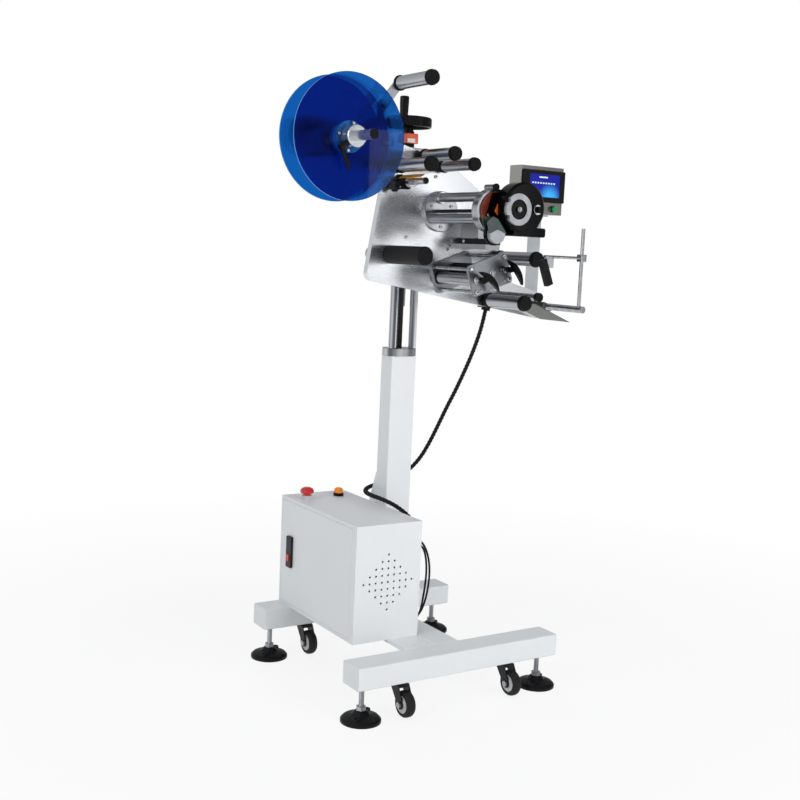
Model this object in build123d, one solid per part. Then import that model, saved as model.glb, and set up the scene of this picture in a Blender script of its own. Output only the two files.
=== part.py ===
from build123d import *
import os
from math import atan2, cos, degrees, hypot, radians, sin, tan

# Label applicator head for bottles, on a lift column and a wheeled H base. Millimetres, +Z up,
# +X along the beams, -Y towards the operator. The origin is on the floor, mid base.

# Fits
RUN = 0.08
CLEAR = 0.3
SHEET = 2.0

# Base: two beams, a spine and the cabinet shelf
BEAM_LENGTH = 640.0
BEAM_WIDTH = 80.0
BEAM_HEIGHT = 60.0
BEAM_BOTTOM = 95.0
BASE_DEPTH = 610.0
TUBE_WALL = 3.0
TUBE_CORNER = 4.0
SPINE_WIDTH = 80.0
SHELF_REACH = 94.0
SHELF_THICK = 6.0

# Levelling feet
FOOT_FROM_END = 34.0
FOOT_PAD_R = 53.0
FOOT_PAD_HEIGHT = 30.0
FOOT_STUD_R = 7.0
FOOT_STUD_TOP = 134.0
FOOT_COLLAR_AF = 24.0
FOOT_COLLAR_HEIGHT = 10.0
FOOT_NUT_AF = 24.0
FOOT_NUT_HEIGHT = 12.0
FOOT_EAR_R = 10.0
FOOT_EAR_PITCH = 38.0
FOOT_EAR_HOLE_R = 4.5

# Casters
CASTER_FROM_END = 148.0
CASTER_TRAIL = 32.0
WHEEL_R = 35.0
WHEEL_WIDTH = 26.0
WHEEL_FLOOR_GAP = 2.0
WHEEL_HUB_R = 23.0
WHEEL_DISH = 3.0
CASTER_PLATE_LENGTH = 70.0
CASTER_PLATE_WIDTH = 56.0
CASTER_PLATE_THICK = 3.0
SWIVEL_R = 23.0
SWIVEL_HEIGHT = 7.0
KINGPIN_R = 6.0
FORK_CROWN = 7.0
FORK_CHEEK = 3.0
FORK_BOSS_R = 12.0
AXLE_R = 4.0
AXLE_HEAD_R = 8.0
AXLE_HEAD = 6.0

# Column and its haunch
COLUMN_WIDTH = 80.0
COLUMN_DEPTH = 60.0
COLUMN_Y = 78.0
COLUMN_TOP = 904.0
HAUNCH_TOP = 565.0
HAUNCH_REACH = 150.0

# Lift: flange on the column, two guide rods and the screw
FLANGE_WIDTH = 92.0
FLANGE_DEPTH = 66.0
FLANGE_THICK = 22.0
FLANGE_CORNER = 22.0
ROD_R = 11.5
ROD_X = 33.0
ROD_Y = 63.0
ROD_TOP = 1365.0
SCREW_R = 8.5
SCREW_Y = 80.0
SCREW_BOTTOM = 780.0
JOURNAL_R = 6.0

# Carriage behind the main plate
PLATE_FRONT = 25.0
PLATE_THICK = 20.0
CARRIAGE_HALF = 48.0
CARRIAGE_BOTTOM = 1104.0
CARRIAGE_PLATE = 12.0
BUSH_BLOCK = 60.0
BUSH_BLOCK_GAP = 70.0
BUSH_BLOCK_BACK = 98.0
TOP_BEARING_Z = 1470.0
TOP_BEARING_THICK = 12.0
TOP_BEARING_BACK = 116.0
SCREW_ROOM_R = 12.0
FLAG_X = (6.0, 26.0)
FLAG_THICK = 4.0
FLAG_BOTTOM = 1042.0

# Position indicator and handwheel on the screw
ADAPTER_R = 18.0
ADAPTER_HEIGHT = 12.0
INDICATOR_WIDTH = 38.0
INDICATOR_DEPTH = 52.0
INDICATOR_HEIGHT = 27.0
INDICATOR_CORNER = 5.0
WINDOW_X = (-17.0, 9.0)
WINDOW_HEIGHT = 11.0
WINDOW_DEEP = 2.0
HUB_R = 17.0
HUB_HEIGHT = 30.0
HANDWHEEL_R = 64.0
RIM_THICK = 7.0
RIM_Z = (-13.0, 14.0)
WEB_THICK = 9.0
GRIP_R = 12.5
GRIP_HEIGHT = 57.0
GRIP_ANGLE = 220.0
GRIP_PITCH = 47.0

# Control cabinet
CAB_WIDTH = 205.0
CAB_BACK = 294.0
CAB_FRONT = -141.0
CAB_HEIGHT = 320.0
DOOR_FROM_FRONT = 23.0
DOOR_FROM_BACK = 9.0
DOOR_FROM_TOP = 10.0
DOOR_DEPTH = 16.0
DOOR_GAP = 0.8
DOOR_LIP = 8.0
HINGE_PIN_R = 2.0
HINGE_PIN_LENGTH = 10.0
HINGE_EDGE_R = 5.0
VENT_PITCH = 19.0
VENT_ROWS = 9
VENT_HOLE_R = 3.0
VENT_MARGIN = 14.0
VENT_Z = 316.0
LOCK_Y = 229.0
LOCK_Z = 320.0
LOCK_WIDTH = 29.0
LOCK_HEIGHT = 91.0
LOCK_PROUD = 8.0
FLAP_WIDTH = 22.0
FLAP_HEIGHT = 42.0
FLAP_THICK = 5.6
FLAP_PIN_R = 1.5
FLAP_PIN_FROM_TOP = 2.6
LOCK_EDGE = 4.0
LOCK_BUTTON_WIDTH = 14.0
LOCK_BUTTON_HEIGHT = 20.0
LOCK_BUTTON_PROUD = 3.0
LOCK_BUTTON_Z = 303.0
ESTOP_FROM_LEFT = 39.0
ESTOP_Y = 214.0
ESTOP_R = 20.0
ESTOP_STEM_R = 11.0
ESTOP_COLLAR_R = 15.0
ESTOP_COLLAR_HEIGHT = 12.0
ESTOP_TRAVEL_GAP = 7.0
ESTOP_CAP_HEIGHT = 16.0
LAMP_X = -94.0
LAMP_Y = 227.0
LAMP_BASE_R = 15.0
LAMP_BASE_HEIGHT = 9.0
LAMP_LENS_R = 13.0
LAMP_LENS_HEIGHT = 14.0
GEAR_PANEL_OFF = 14.0
GEAR_PANEL_MARGIN = 34.0
SUPPLY_SIZE = (50.0, 110.0, 200.0)
DRIVER_SIZE = (42.0, 100.0, 150.0)
CONTROLLER_SIZE = (60.0, 90.0, 130.0)

# Main plate of the head, drawn in the X-Z plane; each corner has its own radius
PLATE_OUTLINE = [
    ((-151, 1117), 22), ((460, 1015), 8), ((465, 1090), 10), ((345, 1121), 14), ((322, 1201), 10),
    ((262, 1232), 18), ((238, 1362), 16), ((122, 1438), 24), ((-2, 1473), 14), ((-48, 1485), 12),
    ((-388, 1538), 38), ((-388, 1448), 30), ((-103, 1405), 12),
]

# Rollers: a tube with two end rings and a cap, on a fixed axle; each has its x, z, front end and radius
ROLLER_RING_PROUD = 2.5
ROLLER_RING = 7.0
ROLLER_CAP_PROUD = 0.8
ROLLER_CAP = 9.0
ROLLER_AXLE_R = 6.0
ROLLER_STANDOFF = 13.0
ROLLERS = {
    "roller_upper_left": (-62.0, 1427.0, -145.0, 18.0),
    "roller_upper_middle": (14.0, 1459.0, -142.0, 17.0),
    "roller_upper_right": (78.0, 1436.0, -143.0, 16.0),
    "roller_lower_front": (261.0, 1068.0, -160.0, 19.5),
    "roller_lower_back": (290.0, 1191.0, -165.0, 19.5),
}
GUIDE_PIN = (309.0, 1086.0)
GUIDE_PIN_R = 9.0
GUIDE_PIN_CAP_R = 13.0
GUIDE_PIN_CAP = 12.0
GUIDE_PIN_END = -156.0

# Dancer arm
DANCER_PIVOT = (-203.0, 1482.0)
DANCER_ROLLER = (-80.0, 1643.0)
DANCER_ROLLER_END = -157.0
DANCER_ROLLER_R = 18.0
DANCER_WIDTH = 26.0
DANCER_THICK = 8.0
DANCER_STANDOFF = 8.0
DANCER_PIN_R = 7.0
DANCER_BUMPER_R = 6.0
DANCER_BUMPER = 22.0
DANCER_BUMPER_SHARE = 0.6

# Unwind reel
REEL_AXIS = (-335.0, 1468.0)
REEL_SHAFT_R = 12.5
REEL_SHAFT_END = -297.0
REEL_DISC_R = 155.0
REEL_DISC_THICK = 4.0
REEL_REAR_Y = -107.0
REEL_FRONT_Y = -182.0
REEL_BEARING_R = 40.0
REEL_BEARING_FLANGE = 12.0
REEL_STEP_R = 28.0
REEL_HUB_R = 39.0
REEL_HUB = 40.0
REEL_FLANGE_R = 39.0
REEL_FLANGE = 8.0
REEL_SLEEVE_R = 35.0
REEL_SLEEVE = 26.0
REEL_COLLAR_R = 27.0
REEL_COLLAR = 34.0
REEL_KEEPER_R = 20.0
REEL_KEEPER = 12.0
LEVER_ANGLE = 217.0
LEVER_FROM_END = 14.0
LEVER_SCREW_R = 4.0
LEVER_HUB_R = 8.0
LEVER_HUB = 24.0
LEVER_ARM = 58.0
LEVER_ARM_R = 5.0
LEVER_ARM_LEAN = 14.0

# Brake bar, its leaf and the star knob
BRAKE_BAR = (-55.0, 1384.0)
BRAKE_BAR_R = 9.0
BRAKE_BAR_END = -103.0
BRAKE_COLLAR_R = 16.0
BRAKE_COLLAR = 16.0
BRAKE_COLLAR_Y = -26.0
STAR_R = 17.0
STAR_LOBES = 6
STAR_THICK = 14.0
STAR_STEM_R = 4.0
STAR_GAP = 16.0
STAR_Y = -2.0
STAR_DROP = 12.0
BRAKE_CLAMP = 20.0
LEAF_WIDTH = 16.0
LEAF_THICK = 1.6
LEAF_END = -98.0
LEAF_DROP = 9.0
LEAF_TILT = 32.0
LEAF_BLOCK = 14.0

# Coder: base flange, three rods, outer flange, ribbon housing and platen
CODER_AXIS = (80.0, 1312.0)
CODER_FLANGE_R = 56.0
CODER_FLANGE = 10.0
CODER_ROD_R = 13.0
CODER_ROD_PITCH = 38.0
CODER_ROD_START = 95.0
CODER_OUTER_Y = -206.0
CODER_OUTER = 28.0
CODER_OUTER_R = 58.0
SPOOL_DISC_R = 50.0
SPOOL_DISC = 4.0
SPOOL_CORE_R = 20.0
HOUSING = (138.0, 1322.0)
HOUSING_R = 67.0
HOUSING_BACK = -244.0
LINK_THICK = 10.0
LINK_END_R = 24.0
HOUSING_DEPTH = 32.0
HOUSING_STEP = 6.0
HOUSING_FOOT_X = (107.0, 212.0)
HOUSING_FOOT_Z = (1249.0, 1273.0)
GUIDE_DRUM = (66.0, 1251.0)
GUIDE_DRUM_R = 24.0
GUIDE_DRUM_FLANGE_R = 29.0
GUIDE_DRUM_DEEP = 14.0
RIBBON_AXIS = (110.0, 1317.0)
RIBBON_RING_R = 41.0
RIBBON_RING = 9.0
RIBBON_HUB_R = 26.0
RIBBON_SCREW_R = 7.0
RIBBON_NOTCH = 12.0
RIBBON_SHAFT_R = 8.0
KNOB_AXIS = (178.0, 1320.0)
KNOB_R = 9.0
KNOB_LENGTH = 14.0
MOTOR_SIDE = 57.0
MOTOR_CORNER = 5.0
MOTOR_CAP = 12.0
MOTOR_CAP_INSET = 1.0
CODER_MOTOR_X = 150.0
CODER_MOTOR_Z = 1241.0
CODER_MOTOR_LENGTH = 92.0
PLATEN_BAR_WIDTH = 52.0
PLATEN_BAR_HEIGHT = 15.0
PLATEN_BAR_END = -103.0
PLATEN_HEIGHT = 14.0
PLATEN_END = -100.0

# Drive unit: two side plates on tie rods, traction and nip rollers, two levers
DRIVE_CENTRE = (134.0, 1146.0)
DRIVE_TURN = 20.0
DRIVE_LENGTH = 136.0
DRIVE_HEIGHT = 86.0
DRIVE_CORNER = 9.0
DRIVE_PLATE = 8.0
DRIVE_OUTER_Y = -154.0
DRIVE_TIE_R = 5.0
DRIVE_TIE_INSET = 11.0
TRACTION_U = -50.0
TRACTION_R = 17.0
TRACTION_RING_R = 18.5
TRACTION_RING = 5.0
DRIVE_SHAFT_R = 6.0
DRIVE_ROLLER_U = 8.0
DRIVE_ROLLER_R = 24.0
UPPER_LEVER_U = 42.0
STUD_R = 5.0
STUD_LENGTH = 26.0
NIP_LEVER_LENGTH = 86.0
NIP_LEVER_THICK = 11.0
NIP_LEVER_DEEP = 17.0
NIP_LEVER_HOLLOW = 2.0
NIP_LEVER_ALONG = 18.0
NIP_LEVER_OFF = 10.0
NIP_LEVER_LOWER_LEAN = -37.0
NIP_LEVER_UPPER_LEAN = -50.0
MOTOR_LENGTH = 76.0
MOTOR_BORE_DEEP = 30.0

# Liner rewind mandrel and its gear motor
MANDREL_AXIS = (-74.0, 1187.0)
MANDREL_R = 25.0
MANDREL_END = -148.0
MANDREL_SHAFT_R = 6.0
REWIND_MOTOR_R = 20.0
REWIND_MOTOR_LENGTH = 88.0

# Peel blade and its bar
BLADE_ROOT = (318.0, 1066.0)
BLADE_TIP = (451.0, 1014.0)
BLADE_THICK = 2.0
BLADE_INNER_Y = 5.0
BLADE_OUTER_Y = -125.0
BLADE_BAR_SHARE = 0.30
BLADE_BAR_WIDTH = 36.0
BLADE_BAR_THICK = 16.0
BLADE_BAR_END = -130.0

# Sensor stand
STAND_ROD_R = 9.5
STAND_ROD_END = -280.0
POST_R = 5.0
POST_Y = -262.0
POST_TOP = 1280.0
CLAMP_Z = 1200.0
CLAMP_SIDE = 20.0
SENSOR_BAR_R = 4.0
SENSOR_BAR_PAST = 14.0
SENSOR_X = 232.0
SENSOR_WIDTH = 20.0
SENSOR_DEPTH = 18.0
SENSOR_HEIGHT = 72.0
SENSOR_LEAN = 22.0
SENSOR_DROP = 42.0
SENSOR_PLATE_WIDTH = 34.0
SENSOR_PLATE_HEIGHT = 30.0
SENSOR_PLATE_THICK = 3.0

# Operator panel
HMI_X = 349.0
HMI_WIDTH = 161.0
HMI_BOTTOM = 1324.0
HMI_HEIGHT = 138.0
HMI_FRONT = 10.0
HMI_DEPTH = 55.0
HMI_CORNER = 3.0
BEZEL_LEFT = 5.0
BEZEL_TOP = 11.0
BEZEL_WIDTH = 156.0
BEZEL_HEIGHT = 92.0
BEZEL_THICK = 7.0
SCREEN_WIDTH = 115.0
SCREEN_HEIGHT = 66.0
SCREEN_LEFT = 24.0
SCREEN_TOP = 11.0
SCREEN_DEEP = 2.0
START_X = 474.0
START_Z = 1341.0
START_R = 9.0
START_STEM_R = 6.0
START_COLLAR_R = 10.0
START_COLLAR = 3.0
START_PROUD = 12.0
STRIP_X = 419.0
STRIP_WIDTH = 44.0
STRIP_THICK = 6.0
STRIP_BOTTOM = 1030.0

# Cables: points chosen by hand
MAIN_CABLE_R = 7.0
MAIN_CABLE = [
    (287, 64, 1036), (282, 67, 1000), (272, 72, 955), (257, 80, 902), (239, 90, 848), (220, 100, 796),
    (199, 112, 744), (180, 124, 690), (160, 136, 636), (136, 148, 586), (100, 157, 548), (50, 161, 526),
    (-10, 161, 514), (-42, 148, 511), (-66, 124, 509), (-79, 92, 508), (-79, 56, 507), (-65, 22, 502),
    (-38, -4, 487), (-5, -20, 459), (15, -29, 428), (21, -32, 400), (20, -34, 373), (10, -35, 350),
    (-6, -36, 331), (-27, -36, 318),
]
LOOP_CABLE_R = 3.0
LOOP_CABLES = [
    [(-33, -106, 404), (-14, -106, 396), (0, -106, 368), (6, -106, 322), (2, -106, 272), (-5, -106, 226),
     (-14, -106, 196), (-33, -106, 180)],
    [(-33, -90, 418), (-10, -90, 408), (14, -90, 376), (27, -90, 328), (26, -90, 274), (16, -90, 226),
     (-2, -90, 190), (-33, -90, 172)],
]
GLAND_R = 13.0
SMALL_GLAND_R = 6.0
BRACKET_WIDTH = 34.0
BRACKET_THICK = 4.0

# Values worked out from the sizes above
FOOT_X = BEAM_LENGTH / 2 - FOOT_FROM_END
CASTER_X = BEAM_LENGTH / 2 - CASTER_FROM_END
BEAM_TOP = BEAM_BOTTOM + BEAM_HEIGHT
BEAM_MID = BEAM_BOTTOM + BEAM_HEIGHT / 2
BEAM_Y = (BASE_DEPTH - BEAM_WIDTH) / 2
BEAM_INNER_Y = BEAM_Y - BEAM_WIDTH / 2
PLATE_BACK = PLATE_FRONT + PLATE_THICK
FLANGE_TOP = COLUMN_TOP + FLANGE_THICK
COLUMN_BACK = COLUMN_Y + COLUMN_DEPTH / 2
CAB_RIGHT = -COLUMN_WIDTH / 2
CAB_LEFT = CAB_RIGHT - CAB_WIDTH
ESTOP_X = CAB_LEFT + ESTOP_FROM_LEFT
CAB_BOTTOM = BEAM_TOP
CAB_TOP = CAB_BOTTOM + CAB_HEIGHT
DOOR_Y0 = CAB_FRONT + DOOR_FROM_FRONT
DOOR_Y1 = CAB_BACK - DOOR_FROM_BACK
DOOR_Z0 = CAB_BOTTOM + DOOR_FROM_TOP
DOOR_Z1 = CAB_TOP - DOOR_FROM_TOP
HINGE_X = CAB_LEFT + HINGE_EDGE_R
HINGE_Y = DOOR_Y0 + HINGE_EDGE_R
WHEEL_Z = WHEEL_R + WHEEL_FLOOR_GAP
TOP_BEARING_TOP = TOP_BEARING_Z + TOP_BEARING_THICK
INDICATOR_Z = TOP_BEARING_TOP + ADAPTER_HEIGHT
HUB_Z = INDICATOR_Z + INDICATOR_HEIGHT + CLEAR

parts = {}


def block(x, y, z):
    """A box from three (low, high) pairs."""
    size = Box(x[1] - x[0], y[1] - y[0], z[1] - z[0])
    return Pos((x[0] + x[1]) / 2, (y[0] + y[1]) / 2, (z[0] + z[1]) / 2) * size


def along_y(radius, y, place):
    """A round bar along Y between two Y values, at an (x, z) place."""
    bar = Rot(X=90) * Cylinder(radius, y[1] - y[0])
    return Pos(place[0], (y[0] + y[1]) / 2, place[1]) * bar


def along_z(radius, z, place):
    """A round bar along Z between two Z values, at an (x, y) place."""
    return Pos(place[0], place[1], (z[0] + z[1]) / 2) * Cylinder(radius, z[1] - z[0])


def turned_y(profile, place):
    """A turned piece: (radius, y) points spun about a Y axis at an (x, z) place."""
    face = make_face(Polyline(*profile, close=True))
    return Pos(place[0], 0, place[1]) * revolve(face, Axis.Y)


def turned_z(profile, place):
    """A turned piece: (radius, z) points spun about a Z axis at an (x, y) place."""
    face = make_face(Plane.XZ * Polyline(*profile, close=True))
    return Pos(place[0], place[1], 0) * revolve(face, Axis.Z)


def slab(sketch, y):
    """A flat X-Z sketch given thickness between two Y values."""
    return extrude(Plane.XZ.offset(-y[1]) * sketch, amount=y[1] - y[0])


def rounded_face(corners):
    """A closed X-Z outline from (point, radius) corners, each rounded by its own radius."""
    face = make_face(Polyline(*[point for point, _ in corners], close=True))
    for point, radius in corners:
        vertex = min(face.vertices(), key=lambda v: hypot(v.X - point[0], v.Y - point[1]))
        face = fillet(vertex, radius)
    return face


def group(*shapes):
    """Separate solids kept side by side in one node."""
    return Compound([solid for shape in shapes for solid in shape.solids()])


def cord(points, radius, name):
    """A round cord along straight runs joined by the largest tangent arcs that its runs allow."""
    route = [Vector(*p) for p in points]
    radii = []
    for a, b, c in zip(route, route[1:], route[2:]):
        turn = (b - a).get_angle(c - b)
        radii.append(0.45 * min((b - a).length, (c - b).length) / tan(radians(turn) / 2))
    path = FilletPolyline(*route, radius=radii)
    start = Plane(route[0], z_dir=route[1] - route[0])
    tube = sweep(start * Circle(radius), path=path)
    share = tube.volume / (3.14159265 * radius * radius * path.length)
    print(f"{name}: length {path.length:.0f}, smallest radius {min(radii):.0f}, volume share {share:.4f}")
    return tube


# Beams: closed rectangular tubes with a weld nut for each foot, and two caster plates bolted under
def caster_plate(x, y):
    plate = block((x - CASTER_PLATE_LENGTH / 2, x + CASTER_PLATE_LENGTH / 2),
                  (y - CASTER_PLATE_WIDTH / 2, y + CASTER_PLATE_WIDTH / 2),
                  (BEAM_BOTTOM - CASTER_PLATE_THICK, BEAM_BOTTOM))
    plate = fillet(plate.edges().filter_by(Axis.Z), 6)
    race = BEAM_BOTTOM - CASTER_PLATE_THICK - SWIVEL_HEIGHT
    plate += along_z(SWIVEL_R, (race, BEAM_BOTTOM - CASTER_PLATE_THICK), (x, y))
    return plate - along_z(KINGPIN_R + RUN, (race - 1, BEAM_BOTTOM - CASTER_PLATE_THICK / 2), (x, y))


for node, y in (("front_beam", -BEAM_Y), ("rear_beam", BEAM_Y)):
    tube = Pos(0, y, BEAM_MID) * Box(BEAM_LENGTH, BEAM_WIDTH, BEAM_HEIGHT)
    tube = fillet(tube.edges().filter_by(Axis.X), TUBE_CORNER)
    inside = (BEAM_LENGTH - 2 * TUBE_WALL, BEAM_WIDTH - 2 * TUBE_WALL, BEAM_HEIGHT - 2 * TUBE_WALL)
    tube -= Pos(0, y, BEAM_MID) * Box(*inside)
    for x in (-FOOT_X, FOOT_X):
        nut = extrude(RegularPolygon(FOOT_NUT_AF / 2, 6, major_radius=False), amount=FOOT_NUT_HEIGHT)
        tube += Pos(x, y, BEAM_BOTTOM + TUBE_WALL) * nut
        tube -= along_z(FOOT_STUD_R + RUN, (BEAM_BOTTOM - 1, BEAM_TOP - TUBE_WALL), (x, y))
    parts[node] = group(tube, caster_plate(-CASTER_X, y), caster_plate(CASTER_X, y))

# Spine between the beams, with the cabinet shelf welded to its side
spine = block((-SPINE_WIDTH / 2, SPINE_WIDTH / 2), (-BEAM_INNER_Y, BEAM_INNER_Y), (BEAM_BOTTOM, BEAM_TOP))
spine = fillet(spine.edges().filter_by(Axis.Y), TUBE_CORNER)
spine -= block((TUBE_WALL - SPINE_WIDTH / 2, SPINE_WIDTH / 2 - TUBE_WALL), (-BEAM_INNER_Y, BEAM_INNER_Y),
               (BEAM_BOTTOM + TUBE_WALL, BEAM_TOP - TUBE_WALL))
shelf = block((-SPINE_WIDTH / 2 - SHELF_REACH, -SPINE_WIDTH / 2), (-BEAM_INNER_Y, BEAM_INNER_Y),
              (BEAM_TOP - SHELF_THICK - TUBE_CORNER, BEAM_TOP - TUBE_CORNER))
shelf += block((-SPINE_WIDTH / 2 - SHELF_REACH, -SPINE_WIDTH / 2 - TUBE_CORNER),
               (-BEAM_INNER_Y, BEAM_INNER_Y),
               (BEAM_TOP - SHELF_THICK, BEAM_TOP))
parts["spine"] = group(spine, shelf)

# Levelling feet: a moulded pad with two bolt ears, and a threaded stud with a hex collar
for node, x, y in (("foot_front_left", -FOOT_X, -BEAM_Y), ("foot_front_right", FOOT_X, -BEAM_Y),
                   ("foot_rear_left", -FOOT_X, BEAM_Y), ("foot_rear_right", FOOT_X, BEAM_Y)):
    neck = FOOT_COLLAR_AF / 2 + 5
    pad = turned_z([(0, 0), (FOOT_PAD_R, 0), (FOOT_PAD_R, 7), (FOOT_PAD_R - 6, 13), (neck + 8, 19),
                    (neck, FOOT_PAD_HEIGHT - 2), (neck - 2, FOOT_PAD_HEIGHT), (0, FOOT_PAD_HEIGHT)], (x, y))
    for side in (-1, 1):
        ear = (x + side * FOOT_EAR_PITCH * 0.8, y + side * FOOT_EAR_PITCH * 0.6)
        pad += along_z(FOOT_EAR_R, (0, 20), ear)
        pad -= along_z(FOOT_EAR_HOLE_R, (-1, 21), ear)
    stud = extrude(RegularPolygon(FOOT_COLLAR_AF / 2, 6, major_radius=False), amount=FOOT_COLLAR_HEIGHT)
    stud = Pos(x, y, FOOT_PAD_HEIGHT) * stud
    stud += along_z(FOOT_STUD_R, (FOOT_PAD_HEIGHT, FOOT_STUD_TOP), (x, y))
    parts[node] = group(pad, stud)

# Casters: a pressed fork on a kingpin, trailing, and a rubber-tyred wheel on a bolted axle
for place, x, y in (("front_left", -CASTER_X, -BEAM_Y), ("front_right", CASTER_X, -BEAM_Y),
                    ("rear_left", -CASTER_X, BEAM_Y), ("rear_right", CASTER_X, BEAM_Y)):
    crown_top = BEAM_BOTTOM - CASTER_PLATE_THICK - SWIVEL_HEIGHT - CLEAR
    crown = (crown_top - FORK_CROWN, crown_top)
    inner = WHEEL_WIDTH / 2 + 1.5
    fork = block((-inner - FORK_CHEEK, inner + FORK_CHEEK), (-SWIVEL_R, SWIVEL_R), crown)
    fork = fillet(fork.edges().filter_by(Axis.Z), 5)
    boss = Pos(-CASTER_TRAIL, WHEEL_Z) * Circle(FORK_BOSS_R)
    neck = Pos(-2, (crown[0] + crown[1]) / 2) * Rectangle(2 * SWIVEL_R - 10, FORK_CROWN)
    cheek = make_hull(boss.edges() + neck.edges())
    for side in (-inner - FORK_CHEEK, inner):
        fork += extrude(Plane.YZ.offset(side) * cheek, amount=FORK_CHEEK)
    axle = Rot(Y=90) * Cylinder(AXLE_R, 2 * (inner + FORK_CHEEK + 2))
    heads = [Pos(side * (inner + FORK_CHEEK + AXLE_HEAD / 2)) * Rot(Y=90) * Cylinder(AXLE_HEAD_R, AXLE_HEAD)
             for side in (-1, 1)]
    fork += Pos(0, -CASTER_TRAIL, WHEEL_Z) * (axle + heads)
    fork += along_z(KINGPIN_R, (crown[1] - 1, BEAM_BOTTOM - CASTER_PLATE_THICK - 1), (0, 0))
    parts[f"caster_fork_{place}"] = Pos(x, y, 0) * fork
    half = WHEEL_WIDTH / 2
    rim = [(AXLE_R + RUN, half), (AXLE_R + 6, half), (AXLE_R + 9, half - WHEEL_DISH),
           (WHEEL_HUB_R - 3, half - WHEEL_DISH), (WHEEL_HUB_R, half - 1), (WHEEL_R - 4, half - 1),
           (WHEEL_R - 1, half - 5), (WHEEL_R, half - 9)]
    profile = rim + [(radius, -y_side) for radius, y_side in reversed(rim)]
    wheel = Rot(Z=90) * turned_y(profile, (0, 0))
    parts[f"caster_wheel_{place}"] = Pos(x, y - CASTER_TRAIL, WHEEL_Z) * wheel

# Column: a rectangular tube with a folded haunch behind its foot
column = block((-COLUMN_WIDTH / 2, COLUMN_WIDTH / 2), (COLUMN_Y - COLUMN_DEPTH / 2, COLUMN_BACK),
               (BEAM_TOP, COLUMN_TOP))
column = fillet(column.edges().filter_by(Axis.Z), TUBE_CORNER)
haunch = make_face(Polyline((COLUMN_BACK - TUBE_CORNER, BEAM_TOP), (COLUMN_BACK + HAUNCH_REACH, BEAM_TOP),
                            (COLUMN_BACK, HAUNCH_TOP), (COLUMN_BACK - TUBE_CORNER, HAUNCH_TOP), close=True))
slope = HAUNCH_REACH / (HAUNCH_TOP - BEAM_TOP)
room = make_face(Polyline((COLUMN_BACK, BEAM_TOP), (COLUMN_BACK + HAUNCH_REACH - 1.1 * TUBE_WALL, BEAM_TOP),
                          (COLUMN_BACK, HAUNCH_TOP - 1.1 * TUBE_WALL / slope), close=True))
column += extrude(Plane.YZ.offset(-COLUMN_WIDTH / 2) * haunch, amount=COLUMN_WIDTH)
column -= extrude(Plane.YZ.offset(TUBE_WALL - COLUMN_WIDTH / 2) * room, amount=COLUMN_WIDTH - 2 * TUBE_WALL)
column -= block((TUBE_WALL - COLUMN_WIDTH / 2, COLUMN_WIDTH / 2 - TUBE_WALL),
                (COLUMN_Y - COLUMN_DEPTH / 2 + TUBE_WALL, COLUMN_BACK - TUBE_WALL), (BEAM_TOP, COLUMN_TOP))
parts["column"] = column

# Lift guides: the flange that closes the column and carries the screw's nut thread, and two ground rods
flange = extrude(RectangleRounded(FLANGE_WIDTH, FLANGE_DEPTH, FLANGE_CORNER), amount=FLANGE_THICK)
flange = Pos(0, COLUMN_Y, COLUMN_TOP) * chamfer(flange.edges().group_by(Axis.Z)[-1], 2)
flange -= along_z(SCREW_R + RUN, (COLUMN_TOP - 1, FLANGE_TOP + 1), (0, SCREW_Y))
rods = [along_z(ROD_R, (FLANGE_TOP, ROD_TOP), (x, ROD_Y)) for x in (-ROD_X, ROD_X)]
parts["lift_guides"] = group(flange, *rods)

# Carriage: a back plate with two bush blocks on the rods, the bearing shelf for the screw and a switch flag
carriage = block((-CARRIAGE_HALF, CARRIAGE_HALF), (PLATE_BACK, PLATE_BACK + CARRIAGE_PLATE),
                 (CARRIAGE_BOTTOM, TOP_BEARING_TOP))
carriage -= block((-ROD_X - ROD_R - 3, ROD_X + ROD_R + 3), (ROD_Y - ROD_R - 2, BUSH_BLOCK_BACK),
                  (CARRIAGE_BOTTOM, TOP_BEARING_Z))
for z in (CARRIAGE_BOTTOM, CARRIAGE_BOTTOM + BUSH_BLOCK + BUSH_BLOCK_GAP):
    bush = block((-CARRIAGE_HALF, CARRIAGE_HALF), (PLATE_BACK, BUSH_BLOCK_BACK), (z, z + BUSH_BLOCK))
    carriage += fillet(bush.edges().filter_by(Axis.Z).sort_by(Axis.Y)[-2:], 10)
carriage += block((-CARRIAGE_HALF, CARRIAGE_HALF), (PLATE_BACK, TOP_BEARING_BACK),
                  (TOP_BEARING_Z, TOP_BEARING_TOP))
for x in (-ROD_X, ROD_X):
    carriage -= along_z(ROD_R + RUN, (CARRIAGE_BOTTOM - 1, TOP_BEARING_Z), (x, ROD_Y))
carriage -= along_z(SCREW_ROOM_R, (CARRIAGE_BOTTOM - 1, TOP_BEARING_Z), (0, SCREW_Y))
carriage -= along_z(JOURNAL_R + RUN, (TOP_BEARING_Z - 1, TOP_BEARING_TOP + 1), (0, SCREW_Y))
flag = block(FLAG_X, (BUSH_BLOCK_BACK, BUSH_BLOCK_BACK + FLAG_THICK),
             (FLAG_BOTTOM, CARRIAGE_BOTTOM + BUSH_BLOCK - 10))
parts["carriage"] = group(carriage, flag)

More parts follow.
